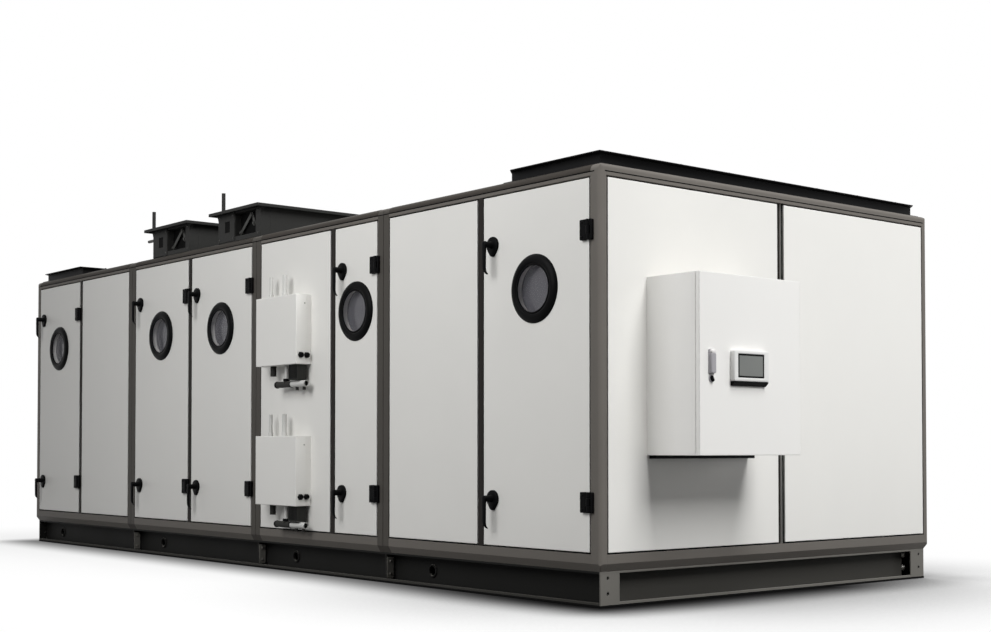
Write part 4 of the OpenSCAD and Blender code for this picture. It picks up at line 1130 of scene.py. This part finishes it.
lock_ring_profile = [(0.0, 0.004), (0.0150, 0.004), (0.0165, 0.0028), (0.0170, 0.0), (0.0, 0.0)]
box_body = "control_box_door"
door_low, door_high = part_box("control_box_door")
box_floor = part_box("control_box")[0].z


def on_box_door(along, up):
    """A frame on the control box door's face, by its distance from the free edge and the bottom."""
    return facing((door_high.x, door_low.y + along, door_low.z + up), to_control_end)


# Painted contact shadow: a black strip under the box, against the end wall.
shape = bmesh.new()
at = facing((near_x, (door_low.y + door_high.y) / 2, box_floor - shadow_strip_h / 2), to_control_end)
block(shape, at, (door_high.y - door_low.y - 2 * shadow_strip_in, shadow_strip_h, shadow_strip_d), 0.002, 0.001)
piece("control_box_shadow_strip", shape, black_plastic)

handle_at = on_box_door(handle_along, handle_up)
lock_at = on_box_door(handle_along, lock_up)
handle = bmesh.new()
block(handle, handle_at, (0.040, 0.113, 0.006), 0.009, 0.002)
grip_at = handle_at @ Matrix.Translation((0.0, -grip_down, 0.0))
block(handle, grip_at, (0.032, 0.092, grip_t), 0.008, 0.004, grip_from)
turned(handle, lock_at, lock_ring_profile, 28)
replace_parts(piece("swing_handle", handle, handle_grey, box_body), "control_box_handle")

cap = bmesh.new()
cap_at = handle_at @ Matrix.Translation((0.0, cap_up, 0.0))
block(cap, cap_at, (0.030, 0.020, grip_t), 0.009, 0.005, grip_from)
piece("swing_handle_cap", cap, handle_cap_white, box_body)

lock = bmesh.new()
key_at = lock_at @ Matrix.Rotation(lock_turn, 4, "Z")
block(lock, key_at, (0.017, 0.030, 0.008), 0.0083, 0.003, 0.0035)
block(lock, key_at, (0.003, 0.016, 0.003), 0.0012, 0.001, 0.011)
piece("swing_handle_lock", lock, black_plastic, box_body)


# Touch panel. A white moulded bezel let into the control box door, round a dark screen with a black
# rim, over a black ledge that paints the shadow below the panel.
touch_white = finish("touch_panel_plastic", srgb(226, 226, 224), 0.34, worn_and_lit_amount=0.05, dust_and_top_shading_amount=0.1, mottle=0.01)
screen_glass = finish("screen_glass", srgb(118, 121, 118), 0.20, worn_and_lit_amount=0.0, dust_and_top_shading_amount=0.0, mottle=0.10,
                      specular=0.2)
coat(screen_glass, "touch_screen")
touch_low, touch_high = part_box("touch_panel")
screen_low, screen_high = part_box("touch_screen")
touch_w, touch_h = touch_high.y - touch_low.y, touch_high.z - touch_low.z
screen_w, screen_h = screen_high.y - screen_low.y, screen_high.z - screen_low.z
touch_t, screen_z = touch_high.x - door_high.x, screen_high.x - door_high.x
touch_middle, screen_middle = (touch_low + touch_high) / 2, (screen_low + screen_high) / 2
touch_at = facing((door_high.x, touch_middle.y, touch_middle.z), to_control_end)
screen_at = facing((door_high.x, screen_middle.y, screen_middle.z), to_control_end)
bezel_r, opening_r, rim_r = 0.008, 0.003, 0.002
bezel_levels = ((0.0, 0.0), (0.0, touch_t - 0.004), (0.0012, touch_t - 0.0012), (0.004, touch_t))
opening_levels = ((0.003, touch_t), (0.0008, touch_t - 0.0006), (0.0, touch_t - 0.0016), (0.0, 0.002))
rim_levels = ((0.0003, screen_z - 0.001), (0.0003, screen_z + 0.0004), (0.008, screen_z + 0.0004),
              (0.0085, screen_z - 0.001))
shadow_ledge_h, shadow_ledge_out, shadow_ledge_in, shadow_ledge_lip, shadow_ledge_foot = 0.021, 0.024, 0.002, 0.004, 0.008


def rounded_loop(at, width, height, grow, radius, z, steps):
    """A rounded rectangle at a height over a frame, grown by a margin on every side."""
    outline = rounded_outline(width + 2 * grow, height + 2 * grow, radius, steps)
    return [at @ Vector((x, y, z)) for x, y in outline]


bezel = bmesh.new()
loops = [rounded_loop(touch_at, touch_w, touch_h, -inset, bezel_r - inset, z, 5) for inset, z in bezel_levels]
loops += [rounded_loop(screen_at, screen_w, screen_h, grow, opening_r + grow, z, 5)
          for grow, z in opening_levels]
loft(bezel, loops)
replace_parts(piece("touch_bezel", bezel, touch_white, box_body), "touch_panel")

rim = bmesh.new()
loft(rim, [rounded_loop(screen_at, screen_w, screen_h, -inset, rim_r, z, 3) for inset, z in rim_levels], True)
piece("screen_rim", rim, black_plastic, box_body)

# Painted shadow: a black ledge below the bezel.
shadow_ledge = bmesh.new()
half_w = touch_w / 2 - shadow_ledge_in
bottom = -touch_h / 2
shadow_ledge_section = ((bottom, 0.0), (bottom, shadow_ledge_out), (bottom - shadow_ledge_lip, shadow_ledge_out),
                 (bottom - shadow_ledge_h, shadow_ledge_foot), (bottom - shadow_ledge_h, 0.0))
loft(shadow_ledge, [[touch_at @ Vector((x, y, z)) for y, z in shadow_ledge_section] for x in (-half_w, half_w)])
piece("touch_shadow_ledge", shadow_ledge, black_plastic, box_body)
